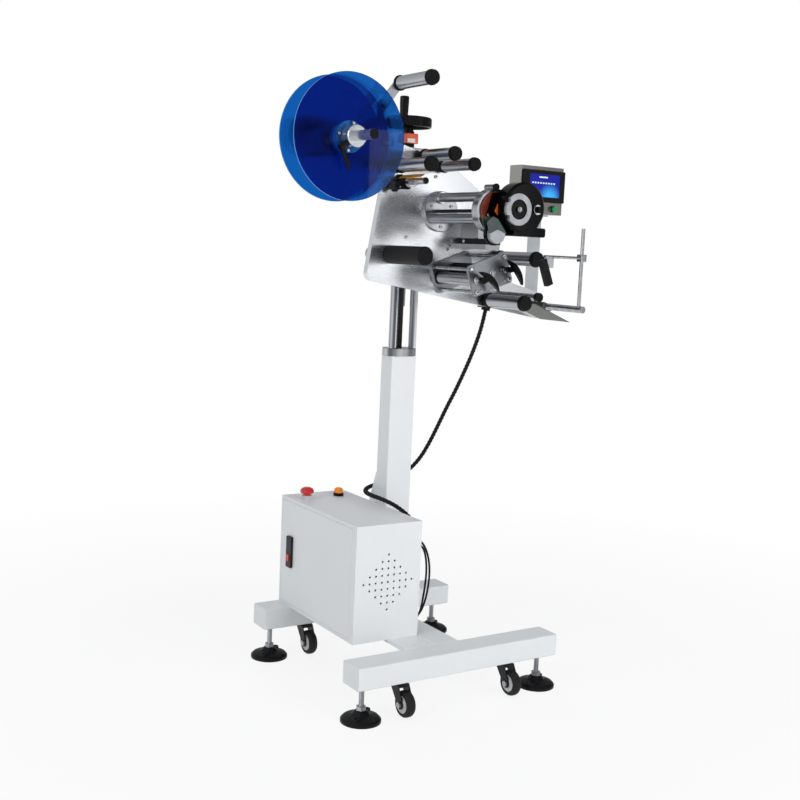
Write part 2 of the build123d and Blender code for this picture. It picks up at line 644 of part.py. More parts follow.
# Position indicator: an adapter, and a counter housing with a window towards the operator
adapter = along_z(ADAPTER_R, (TOP_BEARING_TOP, INDICATOR_Z), (0, SCREW_Y))
counter = extrude(RectangleRounded(INDICATOR_WIDTH, INDICATOR_DEPTH, INDICATOR_CORNER),
                  amount=INDICATOR_HEIGHT)
counter = Pos(0, SCREW_Y, INDICATOR_Z) * chamfer(counter.edges().group_by(Axis.Z)[-1], 2)
window_y = SCREW_Y - INDICATOR_DEPTH / 2
counter -= block(WINDOW_X, (window_y, window_y + WINDOW_DEEP),
                 (INDICATOR_Z + 2, INDICATOR_Z + 2 + WINDOW_HEIGHT))
journal_room = along_z(JOURNAL_R + RUN, (TOP_BEARING_TOP - 1, HUB_Z), (0, SCREW_Y))
parts["position_indicator"] = group(adapter - journal_room, counter - journal_room)

# Lift screw with its plain journal, and the dished handwheel with its grip
screw_top = HUB_Z + HUB_HEIGHT + WEB_THICK
screw = along_z(SCREW_R, (SCREW_BOTTOM, TOP_BEARING_Z - CLEAR), (0, SCREW_Y))
parts["lift_screw"] = screw + along_z(JOURNAL_R, (TOP_BEARING_Z - 1, screw_top), (0, SCREW_Y))
web_z = HUB_Z + HUB_HEIGHT
rim_z = (web_z + RIM_Z[0], web_z + RIM_Z[1])
inner_r = HANDWHEEL_R - RIM_THICK
wheel = turned_z([(JOURNAL_R, HUB_Z), (HUB_R, HUB_Z), (HUB_R, HUB_Z + 6), (HUB_R - 3, HUB_Z + 8),
                  (HUB_R - 3, web_z - 4),
                  (HUB_R + 3, web_z), (inner_r - 8, web_z), (inner_r, web_z - 4), (inner_r + 1, rim_z[0]),
                  (HANDWHEEL_R - 2, rim_z[0]), (HANDWHEEL_R, rim_z[0] + 2), (HANDWHEEL_R, rim_z[1] - 3),
                  (HANDWHEEL_R - 3, rim_z[1]), (inner_r + 1, rim_z[1]), (inner_r - 2, web_z + WEB_THICK),
                  (JOURNAL_R, web_z + WEB_THICK)], (0, SCREW_Y))
grip_place = (GRIP_PITCH * cos(radians(GRIP_ANGLE)), SCREW_Y + GRIP_PITCH * sin(radians(GRIP_ANGLE)))
grip_z = web_z + WEB_THICK
wheel += turned_z([(0, grip_z - 1), (GRIP_R - 1.5, grip_z - 1), (GRIP_R, grip_z + GRIP_HEIGHT * 0.7),
                   (GRIP_R, grip_z + GRIP_HEIGHT - 2), (GRIP_R - 2, grip_z + GRIP_HEIGHT),
                   (0, grip_z + GRIP_HEIGHT)], grip_place)
parts["handwheel"] = wheel

# Cabinet body: a folded box, open to the side for the door, with a rebate and two hinge pins
cab_x = (CAB_LEFT, CAB_RIGHT)
cab_y = (CAB_FRONT, CAB_BACK)
cab_z = (CAB_BOTTOM, CAB_TOP)
door_y = (DOOR_Y0, DOOR_Y1)
door_z = (DOOR_Z0, DOOR_Z1)


def widen(span, amount):
    """A (low, high) pair grown by an amount at each end."""
    return (span[0] - amount, span[1] + amount)


vent_half = VENT_PITCH * (VENT_ROWS - 1) / 2 + VENT_MARGIN
vent_x = (CAB_LEFT + CAB_WIDTH / 2 - vent_half, CAB_LEFT + CAB_WIDTH / 2 + vent_half)
vent_z = (VENT_Z - vent_half, VENT_Z + vent_half)
cabinet = block(cab_x, cab_y, cab_z) - block(widen(cab_x, -SHEET), widen(cab_y, -SHEET),
                                             widen(cab_z, -SHEET))
rebate_x = (CAB_LEFT, CAB_LEFT + DOOR_DEPTH + SHEET)
cabinet += block(rebate_x, widen(door_y, DOOR_GAP + SHEET), widen(door_z, DOOR_GAP + SHEET))
cabinet -= block((CAB_LEFT - 1, CAB_LEFT + DOOR_DEPTH + CLEAR), widen(door_y, DOOR_GAP),
                 widen(door_z, DOOR_GAP))
cabinet -= block((CAB_LEFT - 1, CAB_LEFT + CAB_WIDTH / 2), widen(door_y, -DOOR_LIP),
                 widen(door_z, -DOOR_LIP))
cabinet -= block(vent_x, (CAB_FRONT - 1, CAB_FRONT + SHEET), vent_z)
for low, high in ((DOOR_Z0 - DOOR_GAP, DOOR_Z0 + HINGE_PIN_LENGTH),
                  (DOOR_Z1 - HINGE_PIN_LENGTH, DOOR_Z1 + DOOR_GAP)):
    cabinet += along_z(HINGE_PIN_R, (low, high), (HINGE_X, HINGE_Y))
parts["cabinet_body"] = cabinet

# Vent panel: a diamond of round holes, set flush in the cabinet's front
panel = block(vent_x, (CAB_FRONT, CAB_FRONT + SHEET), vent_z)
vents = []
for row in range(VENT_ROWS):
    steps = min(row, VENT_ROWS - 1 - row)
    z = VENT_Z + (row - (VENT_ROWS - 1) / 2) * VENT_PITCH
    for step in range(-steps, steps + 1):
        vents.append(along_y(VENT_HOLE_R, (CAB_FRONT - 1, CAB_FRONT + SHEET + 1),
                             (CAB_LEFT + CAB_WIDTH / 2 + step * VENT_PITCH, z)))
parts["vent_panel"] = panel - vents

# Door: a folded pan with a rolled hinge edge, and the lock housing on its free side
door = block((CAB_LEFT, CAB_LEFT + DOOR_DEPTH), door_y, door_z)
rolled = door.edges().filter_by(Axis.Z).group_by(Axis.Y)[0].sort_by(Axis.X)[0]
door = fillet(rolled, HINGE_EDGE_R)
door -= block((CAB_LEFT + SHEET, CAB_LEFT + DOOR_DEPTH), (HINGE_Y + HINGE_EDGE_R, DOOR_Y1 - SHEET),
              widen(door_z, -SHEET))
# The hinge edge is no deeper than its roll, so that it clears the rebate as the door turns
door -= block((HINGE_X + HINGE_EDGE_R, CAB_LEFT + DOOR_DEPTH + 1), (DOOR_Y0 - 1, HINGE_Y + HINGE_EDGE_R),
              widen(door_z, 1))
for low, high in ((DOOR_Z0 - 1, DOOR_Z0 + HINGE_PIN_LENGTH + CLEAR),
                  (DOOR_Z1 - HINGE_PIN_LENGTH - CLEAR, DOOR_Z1 + 1)):
    door -= along_z(HINGE_PIN_R + RUN, (low, high), (HINGE_X, HINGE_Y))
lock_y = (LOCK_Y - LOCK_WIDTH / 2, LOCK_Y + LOCK_WIDTH / 2)
lock_z = (LOCK_Z - LOCK_HEIGHT / 2, LOCK_Z + LOCK_HEIGHT / 2)
lock = block((CAB_LEFT - LOCK_PROUD, CAB_LEFT), lock_y, lock_z)
lock = fillet(lock.edges().filter_by(Axis.X), 3)
flap_y = (LOCK_Y - FLAP_WIDTH / 2, LOCK_Y + FLAP_WIDTH / 2)
flap_z = (lock_z[1] - LOCK_EDGE - FLAP_HEIGHT, lock_z[1] - LOCK_EDGE)
flap_x = (CAB_LEFT - LOCK_PROUD, CAB_LEFT - LOCK_PROUD + FLAP_THICK)
lock -= block((flap_x[0] - 1, flap_x[1] + CLEAR), widen(flap_y, CLEAR), widen(flap_z, CLEAR))
flap_pin = ((flap_x[0] + flap_x[1]) / 2, flap_z[1] - FLAP_PIN_FROM_TOP)
lock += along_y(FLAP_PIN_R, widen(flap_y, 1), flap_pin)
button_y = (LOCK_Y - LOCK_BUTTON_WIDTH / 2, LOCK_Y + LOCK_BUTTON_WIDTH / 2)
button_z = (LOCK_BUTTON_Z - LOCK_BUTTON_HEIGHT / 2, LOCK_BUTTON_Z + LOCK_BUTTON_HEIGHT / 2)
button_room = block((CAB_LEFT - LOCK_PROUD - 1, CAB_LEFT + DOOR_DEPTH), widen(button_y, CLEAR),
                    widen(button_z, CLEAR))
parts["cabinet_door"] = group(door - button_room, lock - button_room)

# Lock flap on its pin, and the red release button beside it
flap = block(flap_x, flap_y, flap_z)
flap = fillet(flap.edges().filter_by(Axis.Y).group_by(Axis.Z)[-1], FLAP_PIN_FROM_TOP - 0.2)
parts["latch_handle"] = flap - along_y(FLAP_PIN_R + RUN, widen(flap_y, 1), flap_pin)
button = block((CAB_LEFT - LOCK_PROUD - LOCK_BUTTON_PROUD, CAB_LEFT + SHEET), button_y, button_z)
parts["latch_button"] = chamfer(button.faces().sort_by(Axis.X)[0].edges(), 1)

# Cabinet fittings: lamp, stop collar and cable glands outside, the supply, driver and controller inside
fittings = []
collar = along_z(ESTOP_COLLAR_R, (CAB_TOP, CAB_TOP + ESTOP_COLLAR_HEIGHT), (ESTOP_X, ESTOP_Y))
fittings.append(collar - along_z(ESTOP_STEM_R + RUN, (CAB_TOP, CAB_TOP + ESTOP_COLLAR_HEIGHT),
                                 (ESTOP_X, ESTOP_Y)))
lamp_z = CAB_TOP + LAMP_BASE_HEIGHT
fittings.append(along_z(LAMP_BASE_R, (CAB_TOP, lamp_z), (LAMP_X, LAMP_Y)))
fittings.append(turned_z([(0, lamp_z), (LAMP_LENS_R, lamp_z), (LAMP_LENS_R, lamp_z + LAMP_LENS_HEIGHT - 4),
                          (LAMP_LENS_R - 4, lamp_z + LAMP_LENS_HEIGHT), (0, lamp_z + LAMP_LENS_HEIGHT)],
                         (LAMP_X, LAMP_Y)))
gear_x = CAB_RIGHT - GEAR_PANEL_OFF
fittings.append(block((gear_x, CAB_RIGHT - SHEET), widen(cab_y, -GEAR_PANEL_MARGIN),
                      widen(cab_z, -GEAR_PANEL_MARGIN)))
for size, y in ((SUPPLY_SIZE, 190), (DRIVER_SIZE, 50), (CONTROLLER_SIZE, -55)):
    case = block((gear_x - size[0], gear_x), (y - size[1] / 2, y + size[1] / 2),
                 (VENT_Z - size[2] / 2, VENT_Z + size[2] / 2))
    fittings.append(fillet(case.edges().filter_by(Axis.X), 4))


def gland(end, before, radius):
    """A round cable gland on the cabinet's right side, in line with the last run of its cable."""
    inward = Vector(*end) - Vector(*before)
    body = extrude(Plane(end, z_dir=inward) * Circle(radius), amount=4 * radius)
    return body & block((CAB_RIGHT, CAB_RIGHT + 6 * radius), widen(cab_y, 0), widen(cab_z, 0))


fittings.append(gland(MAIN_CABLE[-1], MAIN_CABLE[-2], GLAND_R))
for strand in LOOP_CABLES:
    fittings.append(gland(strand[0], strand[1], SMALL_GLAND_R))
    fittings.append(gland(strand[-1], strand[-2], SMALL_GLAND_R))
parts["cabinet_fittings"] = group(*fittings)

# Stop button: a mushroom head on a stem in the collar
cap_z = CAB_TOP + ESTOP_COLLAR_HEIGHT + ESTOP_TRAVEL_GAP
stop = turned_z([(0, cap_z), (ESTOP_R - 2, cap_z), (ESTOP_R, cap_z + 3), (ESTOP_R, cap_z + 7),
                 (ESTOP_R - 4, cap_z + ESTOP_CAP_HEIGHT - 3), (ESTOP_R - 10, cap_z + ESTOP_CAP_HEIGHT),
                 (0, cap_z + ESTOP_CAP_HEIGHT)], (ESTOP_X, ESTOP_Y))
stop += along_z(ESTOP_STEM_R, (CAB_TOP + ESTOP_TRAVEL_GAP, cap_z), (ESTOP_X, ESTOP_Y))
parts["estop_button"] = stop


def drive_place(u, w):
    """An (x, z) place from the drive unit's own turned axes."""
    c, s = cos(radians(DRIVE_TURN)), sin(radians(DRIVE_TURN))
    return (DRIVE_CENTRE[0] + u * c - w * s, DRIVE_CENTRE[1] + u * s + w * c)


traction_axis = drive_place(TRACTION_U, 0)
drive_axis = drive_place(DRIVE_ROLLER_U, 0)

# Main plate: a thick aluminium plate that every roller stands on, bored for the shafts that pass through
main_plate = slab(rounded_face(PLATE_OUTLINE), (PLATE_FRONT, PLATE_BACK))
through = (PLATE_FRONT - 1, PLATE_BACK + 1)
for radius, place in ((REEL_SHAFT_R, REEL_AXIS), (MANDREL_SHAFT_R, MANDREL_AXIS),
                      (DRIVE_SHAFT_R, drive_axis)):
    main_plate -= along_y(radius + RUN, through, place)
parts["main_plate"] = main_plate

# Guide bars: roller axles, the guide pin, the reel bearing, and the brake bar with its collar and leaf
bars = []
for x, z, end, _ in ROLLERS.values():
    bars.append(along_y(ROLLER_AXLE_R, (end + ROLLER_CAP + 4, PLATE_FRONT), (x, z)))
pin = along_y(GUIDE_PIN_R, (GUIDE_PIN_END + GUIDE_PIN_CAP, PLATE_FRONT), GUIDE_PIN)
bars.append(pin + along_y(GUIDE_PIN_CAP_R, (GUIDE_PIN_END, GUIDE_PIN_END + GUIDE_PIN_CAP), GUIDE_PIN))
bearing = along_y(REEL_BEARING_R, (PLATE_FRONT - REEL_BEARING_FLANGE, PLATE_FRONT), REEL_AXIS)
bars.append(bearing - along_y(REEL_SHAFT_R + RUN, through[:1] + (PLATE_FRONT,), REEL_AXIS)
            - along_y(REEL_SHAFT_R + RUN, (PLATE_FRONT - REEL_BEARING_FLANGE, PLATE_FRONT), REEL_AXIS))
bar = along_y(BRAKE_BAR_R, (BRAKE_BAR_END, PLATE_FRONT), BRAKE_BAR)
bars.append(bar + along_y(BRAKE_COLLAR_R, (BRAKE_COLLAR_Y - BRAKE_COLLAR, BRAKE_COLLAR_Y), BRAKE_BAR))
clamp_x = (BRAKE_BAR[0] - BRAKE_CLAMP / 2, BRAKE_BAR[0] + BRAKE_CLAMP / 2)
clamp = block(clamp_x, (STAR_Y - BRAKE_CLAMP / 2, STAR_Y + BRAKE_CLAMP / 2),
              (BRAKE_BAR[1] - BRAKE_CLAMP, BRAKE_BAR[1] + BRAKE_BAR_R + 2))
clamp -= along_y(BRAKE_BAR_R, widen((STAR_Y - BRAKE_CLAMP / 2, STAR_Y + BRAKE_CLAMP / 2), 1), BRAKE_BAR)
bars.append(clamp)
upper_left = ROLLERS["roller_upper_left"]
leaf_z = upper_left[1] - upper_left[3] - ROLLER_RING_PROUD - LEAF_DROP
leaf_line = Pos(upper_left[0], leaf_z) * Rot(Z=LEAF_TILT)
bars.append(slab(leaf_line * Rectangle(LEAF_WIDTH, LEAF_THICK), (LEAF_END, PLATE_FRONT - LEAF_BLOCK)))
bars.append(slab(leaf_line * Rectangle(LEAF_WIDTH, LEAF_BLOCK / 2),
                 (PLATE_FRONT - LEAF_BLOCK, PLATE_FRONT)))
dancer_y = (PLATE_FRONT - DANCER_STANDOFF - DANCER_THICK, PLATE_FRONT - DANCER_STANDOFF)
pivot = along_y(DANCER_PIN_R + 4, (dancer_y[1] + CLEAR, PLATE_FRONT), DANCER_PIVOT)
pivot += along_y(DANCER_PIN_R, (dancer_y[0] - CLEAR, PLATE_FRONT), DANCER_PIVOT)
bars.append(pivot + along_y(DANCER_PIN_R + 3, (dancer_y[0] - CLEAR - 4, dancer_y[0] - CLEAR), DANCER_PIVOT))
parts["guide_bars"] = group(*bars)


def roller(place, inner, end, tube_r):
    """A turned roller from its inner ring to its end cap, bored for the axle."""
    bore = ROLLER_AXLE_R + RUN
    outer_ring = end + ROLLER_CAP
    ring_r = tube_r + ROLLER_RING_PROUD
    cap_r = tube_r + ROLLER_CAP_PROUD
    profile = [(bore, inner), (ring_r - 1, inner), (ring_r, inner - 1), (ring_r, inner - ROLLER_RING + 1),
               (ring_r - 1, inner - ROLLER_RING), (tube_r, inner - ROLLER_RING),
               (tube_r, outer_ring + ROLLER_RING),
               (ring_r - 1, outer_ring + ROLLER_RING), (ring_r, outer_ring + ROLLER_RING - 1),
               (ring_r, outer_ring + 1), (ring_r - 1, outer_ring), (cap_r, outer_ring), (cap_r, end + 2),
               (cap_r - 2, end), (0, end), (0, outer_ring + 4 - CLEAR), (bore, outer_ring + 4 - CLEAR)]
    return turned_y(profile, place)


for node, (x, z, end, tube_r) in ROLLERS.items():
    parts[node] = roller((x, z), PLATE_FRONT - ROLLER_STANDOFF, end, tube_r)

# Dancer: a flat arm on its pivot, with a roller on a fixed axle and a rubber bumper
lean = degrees(atan2(DANCER_ROLLER[1] - DANCER_PIVOT[1], DANCER_ROLLER[0] - DANCER_PIVOT[0]))
reach = hypot(DANCER_ROLLER[0] - DANCER_PIVOT[0], DANCER_ROLLER[1] - DANCER_PIVOT[1])
middle = ((DANCER_PIVOT[0] + DANCER_ROLLER[0]) / 2, (DANCER_PIVOT[1] + DANCER_ROLLER[1]) / 2)
arm = slab(Pos(*middle) * Rot(Z=lean) * SlotCenterToCenter(reach, DANCER_WIDTH), dancer_y)
arm -= along_y(DANCER_PIN_R + RUN, widen(dancer_y, 1), DANCER_PIVOT)
arm += along_y(ROLLER_AXLE_R, (DANCER_ROLLER_END + ROLLER_CAP + 4, dancer_y[0] + 1), DANCER_ROLLER)
bumper = (DANCER_PIVOT[0] + DANCER_BUMPER_SHARE * (DANCER_ROLLER[0] - DANCER_PIVOT[0]),
          DANCER_PIVOT[1] + DANCER_BUMPER_SHARE * (DANCER_ROLLER[1] - DANCER_PIVOT[1]))
parts["dancer_arm"] = arm + along_y(DANCER_BUMPER_R, (dancer_y[0] - DANCER_BUMPER, dancer_y[0] + 1), bumper)
parts["dancer_roller"] = roller(DANCER_ROLLER, dancer_y[0] - 2 * CLEAR, DANCER_ROLLER_END, DANCER_ROLLER_R)

# Unwind reel: the shaft with its stepped hub, a fixed rear disc, and a front disc that clamps on the shaft
hub_front = REEL_REAR_Y + REEL_DISC_THICK / 2
step_back = PLATE_FRONT - REEL_BEARING_FLANGE - CLEAR
keeper = PLATE_BACK + CLEAR
shaft = turned_y([(0, REEL_SHAFT_END), (REEL_SHAFT_R - 1, REEL_SHAFT_END),
                  (REEL_SHAFT_R, REEL_SHAFT_END + 1),
                  (REEL_SHAFT_R, hub_front), (REEL_HUB_R, hub_front), (REEL_HUB_R, hub_front + REEL_HUB),
                  (REEL_STEP_R, hub_front + REEL_HUB), (REEL_STEP_R, step_back), (REEL_SHAFT_R, step_back),
                  (REEL_SHAFT_R, keeper), (REEL_KEEPER_R, keeper), (REEL_KEEPER_R, keeper + REEL_KEEPER),
                  (0, keeper + REEL_KEEPER)], REEL_AXIS)
parts["reel_shaft"] = shaft
rear_y = (REEL_REAR_Y - REEL_DISC_THICK / 2, REEL_REAR_Y + REEL_DISC_THICK / 2)
disc = along_y(REEL_DISC_R, rear_y, REEL_AXIS)
parts["reel_disc_rear"] = disc - along_y(REEL_SHAFT_R + RUN, rear_y, REEL_AXIS)
front_y = (REEL_FRONT_Y - REEL_DISC_THICK / 2, REEL_FRONT_Y + REEL_DISC_THICK / 2)
flange_y = front_y[1] + REEL_FLANGE
sleeve_y = front_y[1] + REEL_SLEEVE
collar_y = front_y[0] - REEL_COLLAR
bore_r = REEL_SHAFT_R + RUN
disc = turned_y([(bore_r, front_y[0]), (REEL_DISC_R, front_y[0]), (REEL_DISC_R, front_y[1]),
                 (bore_r, front_y[1])],
                REEL_AXIS)
sleeve = turned_y([(bore_r, front_y[1]), (REEL_FLANGE_R, front_y[1]), (REEL_FLANGE_R, flange_y),
                   (REEL_SLEEVE_R, flange_y), (REEL_SLEEVE_R, sleeve_y), (bore_r, sleeve_y)], REEL_AXIS)
collar = turned_y([(bore_r, front_y[0]), (REEL_COLLAR_R, front_y[0]), (REEL_COLLAR_R, collar_y + 2),
                   (REEL_COLLAR_R - 2, collar_y), (bore_r, collar_y)], REEL_AXIS)

# Clamp lever: a screw along a radius of the collar, with a moulded arm across it
lever_y = collar_y + LEVER_FROM_END
radial = Vector(cos(radians(LEVER_ANGLE)), 0, sin(radians(LEVER_ANGLE)))
lever_frame = Plane((REEL_AXIS[0], lever_y, REEL_AXIS[1]), x_dir=(0, -1, 0), z_dir=radial)
screw_hole = Pos(0, 0, (bore_r + REEL_COLLAR_R) / 2) * Cylinder(LEVER_SCREW_R + RUN,
                                                                REEL_COLLAR_R - bore_r + 4)
collar -= lever_frame * screw_hole
parts["reel_disc_front"] = group(disc, sleeve, collar)
hub_low = REEL_COLLAR_R + CLEAR
lever = Pos(0, 0, hub_low + LEVER_HUB / 2) * Cylinder(LEVER_HUB_R, LEVER_HUB)
lever += Pos(0, 0, hub_low - 4) * Cylinder(LEVER_SCREW_R, 12)
arm_frame = Pos(0, 0, hub_low + LEVER_HUB - LEVER_HUB_R) * Rot(X=90 - LEVER_ARM_LEAN)
arm_root = arm_frame * Ellipse(LEVER_HUB_R * 0.7, LEVER_HUB_R * 0.8)
arm_tip = arm_frame * Pos(0, 0, LEVER_ARM) * Ellipse(LEVER_ARM_R, LEVER_ARM_R * 0.8)
lever_arm = loft([arm_root, arm_tip])
parts["reel_clamp_lever"] = lever_frame * (lever + lever_arm)

# Star knob: a lobed head on a stem, at the brake bar's clamp block
star = Circle(STAR_R * 0.72)
for lobe in range(STAR_LOBES):
    star += Rot(Z=360 / STAR_LOBES * lobe) * Pos(STAR_R * 0.68, 0) * Circle(STAR_R * 0.32)
stem_tip = clamp_x[0] - CLEAR
knob_z = BRAKE_BAR[1] - STAR_DROP
knob = extrude(star, amount=STAR_THICK)
knob = chamfer(knob.edges().group_by(Axis.Z)[-1], 1.2)
knob = Pos(stem_tip - STAR_GAP, STAR_Y, knob_z) * Rot(Y=-90) * knob
knob += Pos(stem_tip - STAR_GAP / 2, STAR_Y, knob_z) * Rot(Y=90) * Cylinder(STAR_STEM_R, STAR_GAP)
parts["star_knob"] = knob

# Coder mount: a round foot on the main plate, three rods and the outer flange
foot_y = (PLATE_FRONT - CODER_FLANGE, PLATE_FRONT)
outer_y = (CODER_OUTER_Y - CODER_OUTER, CODER_OUTER_Y)
mount = along_y(CODER_FLANGE_R, foot_y, CODER_AXIS)
outer = along_y(CODER_OUTER_R, outer_y, CODER_AXIS)
mount = chamfer(mount.edges().group_by(Axis.Y)[0], 1.5)
outer = fillet(outer.edges(), 2)
for step in range(3):
    angle = radians(CODER_ROD_START + 120 * step)
    place = (CODER_AXIS[0] + CODER_ROD_PITCH * cos(angle), CODER_AXIS[1] + CODER_ROD_PITCH * sin(angle))
    mount += along_y(CODER_ROD_R, (outer_y[1], foot_y[0]), place)
parts["coder_mount"] = group(mount + outer)

# Coder body: ribbon spool, a link plate to the round housing with its foot, guide drum and fixing post
spool_y = (outer_y[0] - SPOOL_DISC, outer_y[0])
spool = along_y(SPOOL_DISC_R, spool_y, CODER_AXIS)
core = along_y(SPOOL_CORE_R, (HOUSING_BACK, spool_y[0]), CODER_AXIS)
link_y = (HOUSING_BACK - LINK_THICK, HOUSING_BACK)
housing_y = (link_y[0] - HOUSING_DEPTH, link_y[0])
link = make_hull((Pos(*CODER_AXIS) * Circle(LINK_END_R)).edges()
                 + (Pos(*HOUSING) * Circle(HOUSING_R - 6)).edges())
coder = slab(link, link_y)
shell = turned_y([(0, housing_y[1]), (HOUSING_R, housing_y[1]), (HOUSING_R, housing_y[0] + HOUSING_STEP),
                  (HOUSING_R - HOUSING_STEP, housing_y[0]), (0, housing_y[0])], HOUSING)
coder += shell
foot = block(HOUSING_FOOT_X, (housing_y[0] + 4, link_y[1]), HOUSING_FOOT_Z)
coder += fillet(foot.edges().filter_by(Axis.Y), 6)
drum_arm = make_hull((Pos(*GUIDE_DRUM) * Circle(GUIDE_DRUM_FLANGE_R)).edges()
                     + (Pos(*HOUSING) * Circle(20)).edges())
coder += slab(drum_arm, link_y)
coder += along_y(KNOB_R, (housing_y[0] - KNOB_LENGTH, housing_y[0]), KNOB_AXIS)
coder -= along_y(RIBBON_SHAFT_R + RUN, (housing_y[0] - 1, link_y[1] + 1), RIBBON_AXIS)
drum = along_y(GUIDE_DRUM_R, (link_y[0] - GUIDE_DRUM_DEEP, link_y[0]), GUIDE_DRUM)
parts["coder_body"] = group(spool, core, coder, drum)

# Ribbon reel: a notched ring on a hub, on the coder's front
ring_y = (housing_y[0] - CLEAR - RIBBON_RING, housing_y[0] - CLEAR)
ribbon = along_y(RIBBON_RING_R, ring_y, RIBBON_AXIS)
for step in (-1, 1):
    angle = radians(180 + 32 * step)
    notch = (RIBBON_AXIS[0] + RIBBON_RING_R * cos(angle), RIBBON_AXIS[1] + RIBBON_RING_R * sin(angle))
    ribbon -= along_y(RIBBON_NOTCH / 2, ring_y, notch)
ribbon -= along_y(RIBBON_HUB_R, (ring_y[0], ring_y[0] + 2), RIBBON_AXIS)
ribbon += along_y(RIBBON_SCREW_R, (ring_y[0] - 3, ring_y[0] + 3), RIBBON_AXIS)
parts["ribbon_reel"] = ribbon + along_y(RIBBON_SHAFT_R, (ring_y[1] - 1, link_y[1]), RIBBON_AXIS)

# Coder platen: the print motor on a black bar, over the platen plate
motor_x = (CODER_MOTOR_X, CODER_MOTOR_X + MOTOR_SIDE)
motor_z = (CODER_MOTOR_Z, CODER_MOTOR_Z + MOTOR_SIDE)
motor_y = (PLATE_FRONT - CODER_MOTOR_LENGTH, PLATE_FRONT)


def stepper(x, y, z):
    """A square motor: a laminated body between two end caps."""
    body = block(widen(x, -MOTOR_CAP_INSET), (y[0] + MOTOR_CAP, y[1] - MOTOR_CAP),
                 widen(z, -MOTOR_CAP_INSET))
    ends = [block(x, span, z) for span in ((y[0], y[0] + MOTOR_CAP), (y[1] - MOTOR_CAP, y[1]))]
    return body + [fillet(end.edges().filter_by(Axis.Y), MOTOR_CORNER) for end in ends]


bar_z = (CODER_MOTOR_Z - PLATEN_BAR_HEIGHT, CODER_MOTOR_Z)
platen_bar = block((CODER_MOTOR_X, CODER_MOTOR_X + PLATEN_BAR_WIDTH), (PLATEN_BAR_END, PLATE_FRONT), bar_z)
platen = block((CODER_MOTOR_X + 2, CODER_MOTOR_X + PLATEN_BAR_WIDTH), (PLATEN_END, PLATE_FRONT),
               (bar_z[0] - PLATEN_HEIGHT, bar_z[0]))
parts["coder_platen"] = group(stepper(motor_x, motor_y, motor_z), platen_bar, platen)

# Drive frame: two side plates and four tie rods
drive_outline = RectangleRounded(DRIVE_LENGTH, DRIVE_HEIGHT, DRIVE_CORNER)
drive_face = Pos(*DRIVE_CENTRE) * Rot(Z=DRIVE_TURN) * drive_outline
near_y = (DRIVE_OUTER_Y, DRIVE_OUTER_Y + DRIVE_PLATE)
far_y = (PLATE_FRONT - DRIVE_PLATE, PLATE_FRONT)
tie_u = DRIVE_LENGTH / 2 - DRIVE_TIE_INSET
tie_w = DRIVE_HEIGHT / 2 - DRIVE_TIE_INSET
near = slab(drive_face, near_y)
far = slab(drive_face, far_y)
ties = [along_y(DRIVE_TIE_R, (near_y[1], far_y[0]), drive_place(u, w)) for u in (-tie_u, tie_u)
        for w in (-tie_w, tie_w)]
upper_axis = drive_place(UPPER_LEVER_U, 0)
for axis in (traction_axis, drive_axis):
    near -= along_y(DRIVE_SHAFT_R + RUN, widen(near_y, 1), axis)
    far -= along_y(DRIVE_SHAFT_R + RUN, widen(far_y, 1), axis)
near -= along_y(STUD_R + RUN, widen(near_y, 1), upper_axis)
parts["drive_frame"] = group(near, far, *ties)

# Rollers of the drive: the rubber drive roller on the motor's shaft, and the steel nip roller beside it
roll_y = (near_y[1] + 2, far_y[0] - 2)
drive_roller = along_y(DRIVE_ROLLER_R, roll_y, drive_axis)
drive_roller += along_y(DRIVE_SHAFT_R, (near_y[0] - 6, PLATE_BACK + MOTOR_BORE_DEEP - 2), drive_axis)
parts["drive_roller"] = drive_roller
nip = turned_y([(0, near_y[0] + 3), (DRIVE_SHAFT_R, near_y[0] + 3), (DRIVE_SHAFT_R, roll_y[0]),
                (TRACTION_R, roll_y[0]),
                (TRACTION_R, roll_y[1] - TRACTION_RING), (TRACTION_RING_R, roll_y[1] - TRACTION_RING),
                (TRACTION_RING_R, roll_y[1]), (DRIVE_SHAFT_R, roll_y[1]), (DRIVE_SHAFT_R, far_y[1] - 1),
                (0, far_y[1] - 1)],
               traction_axis)
parts["nip_roller"] = nip


def nip_lever(axis, stud_from, stud_r, lean):
    """A crescent lever on the end of its stud, leaning by an angle from the X axis."""
    half = NIP_LEVER_LENGTH / 2
    outer_arc = ThreePointArc((-half, 0), (0, NIP_LEVER_DEEP), (half, 0))
    inner_arc = ThreePointArc((half, 0), (0, NIP_LEVER_HOLLOW), (-half, 0))
    crescent = Pos(NIP_LEVER_ALONG, NIP_LEVER_OFF) * make_face([outer_arc, inner_arc])
    foot = Pos(NIP_LEVER_ALONG * 0.6, NIP_LEVER_OFF + 4) * Circle(stud_r)
    arm = make_hull(Circle(stud_r + 3).edges() + foot.edges())
    blade_y = (near_y[0] - STUD_LENGTH - NIP_LEVER_THICK, near_y[0] - STUD_LENGTH)
    blade = slab(Pos(*axis) * Rot(Z=lean) * (crescent + arm), blade_y)
    return blade + along_y(stud_r, (blade_y[0] + 2, stud_from), axis)


parts["nip_lever_lower"] = nip_lever(traction_axis, near_y[0] + 2, DRIVE_SHAFT_R, NIP_LEVER_LOWER_LEAN)
parts["nip_lever_upper"] = nip_lever(upper_axis, near_y[1] - 1, STUD_R, NIP_LEVER_UPPER_LEAN)

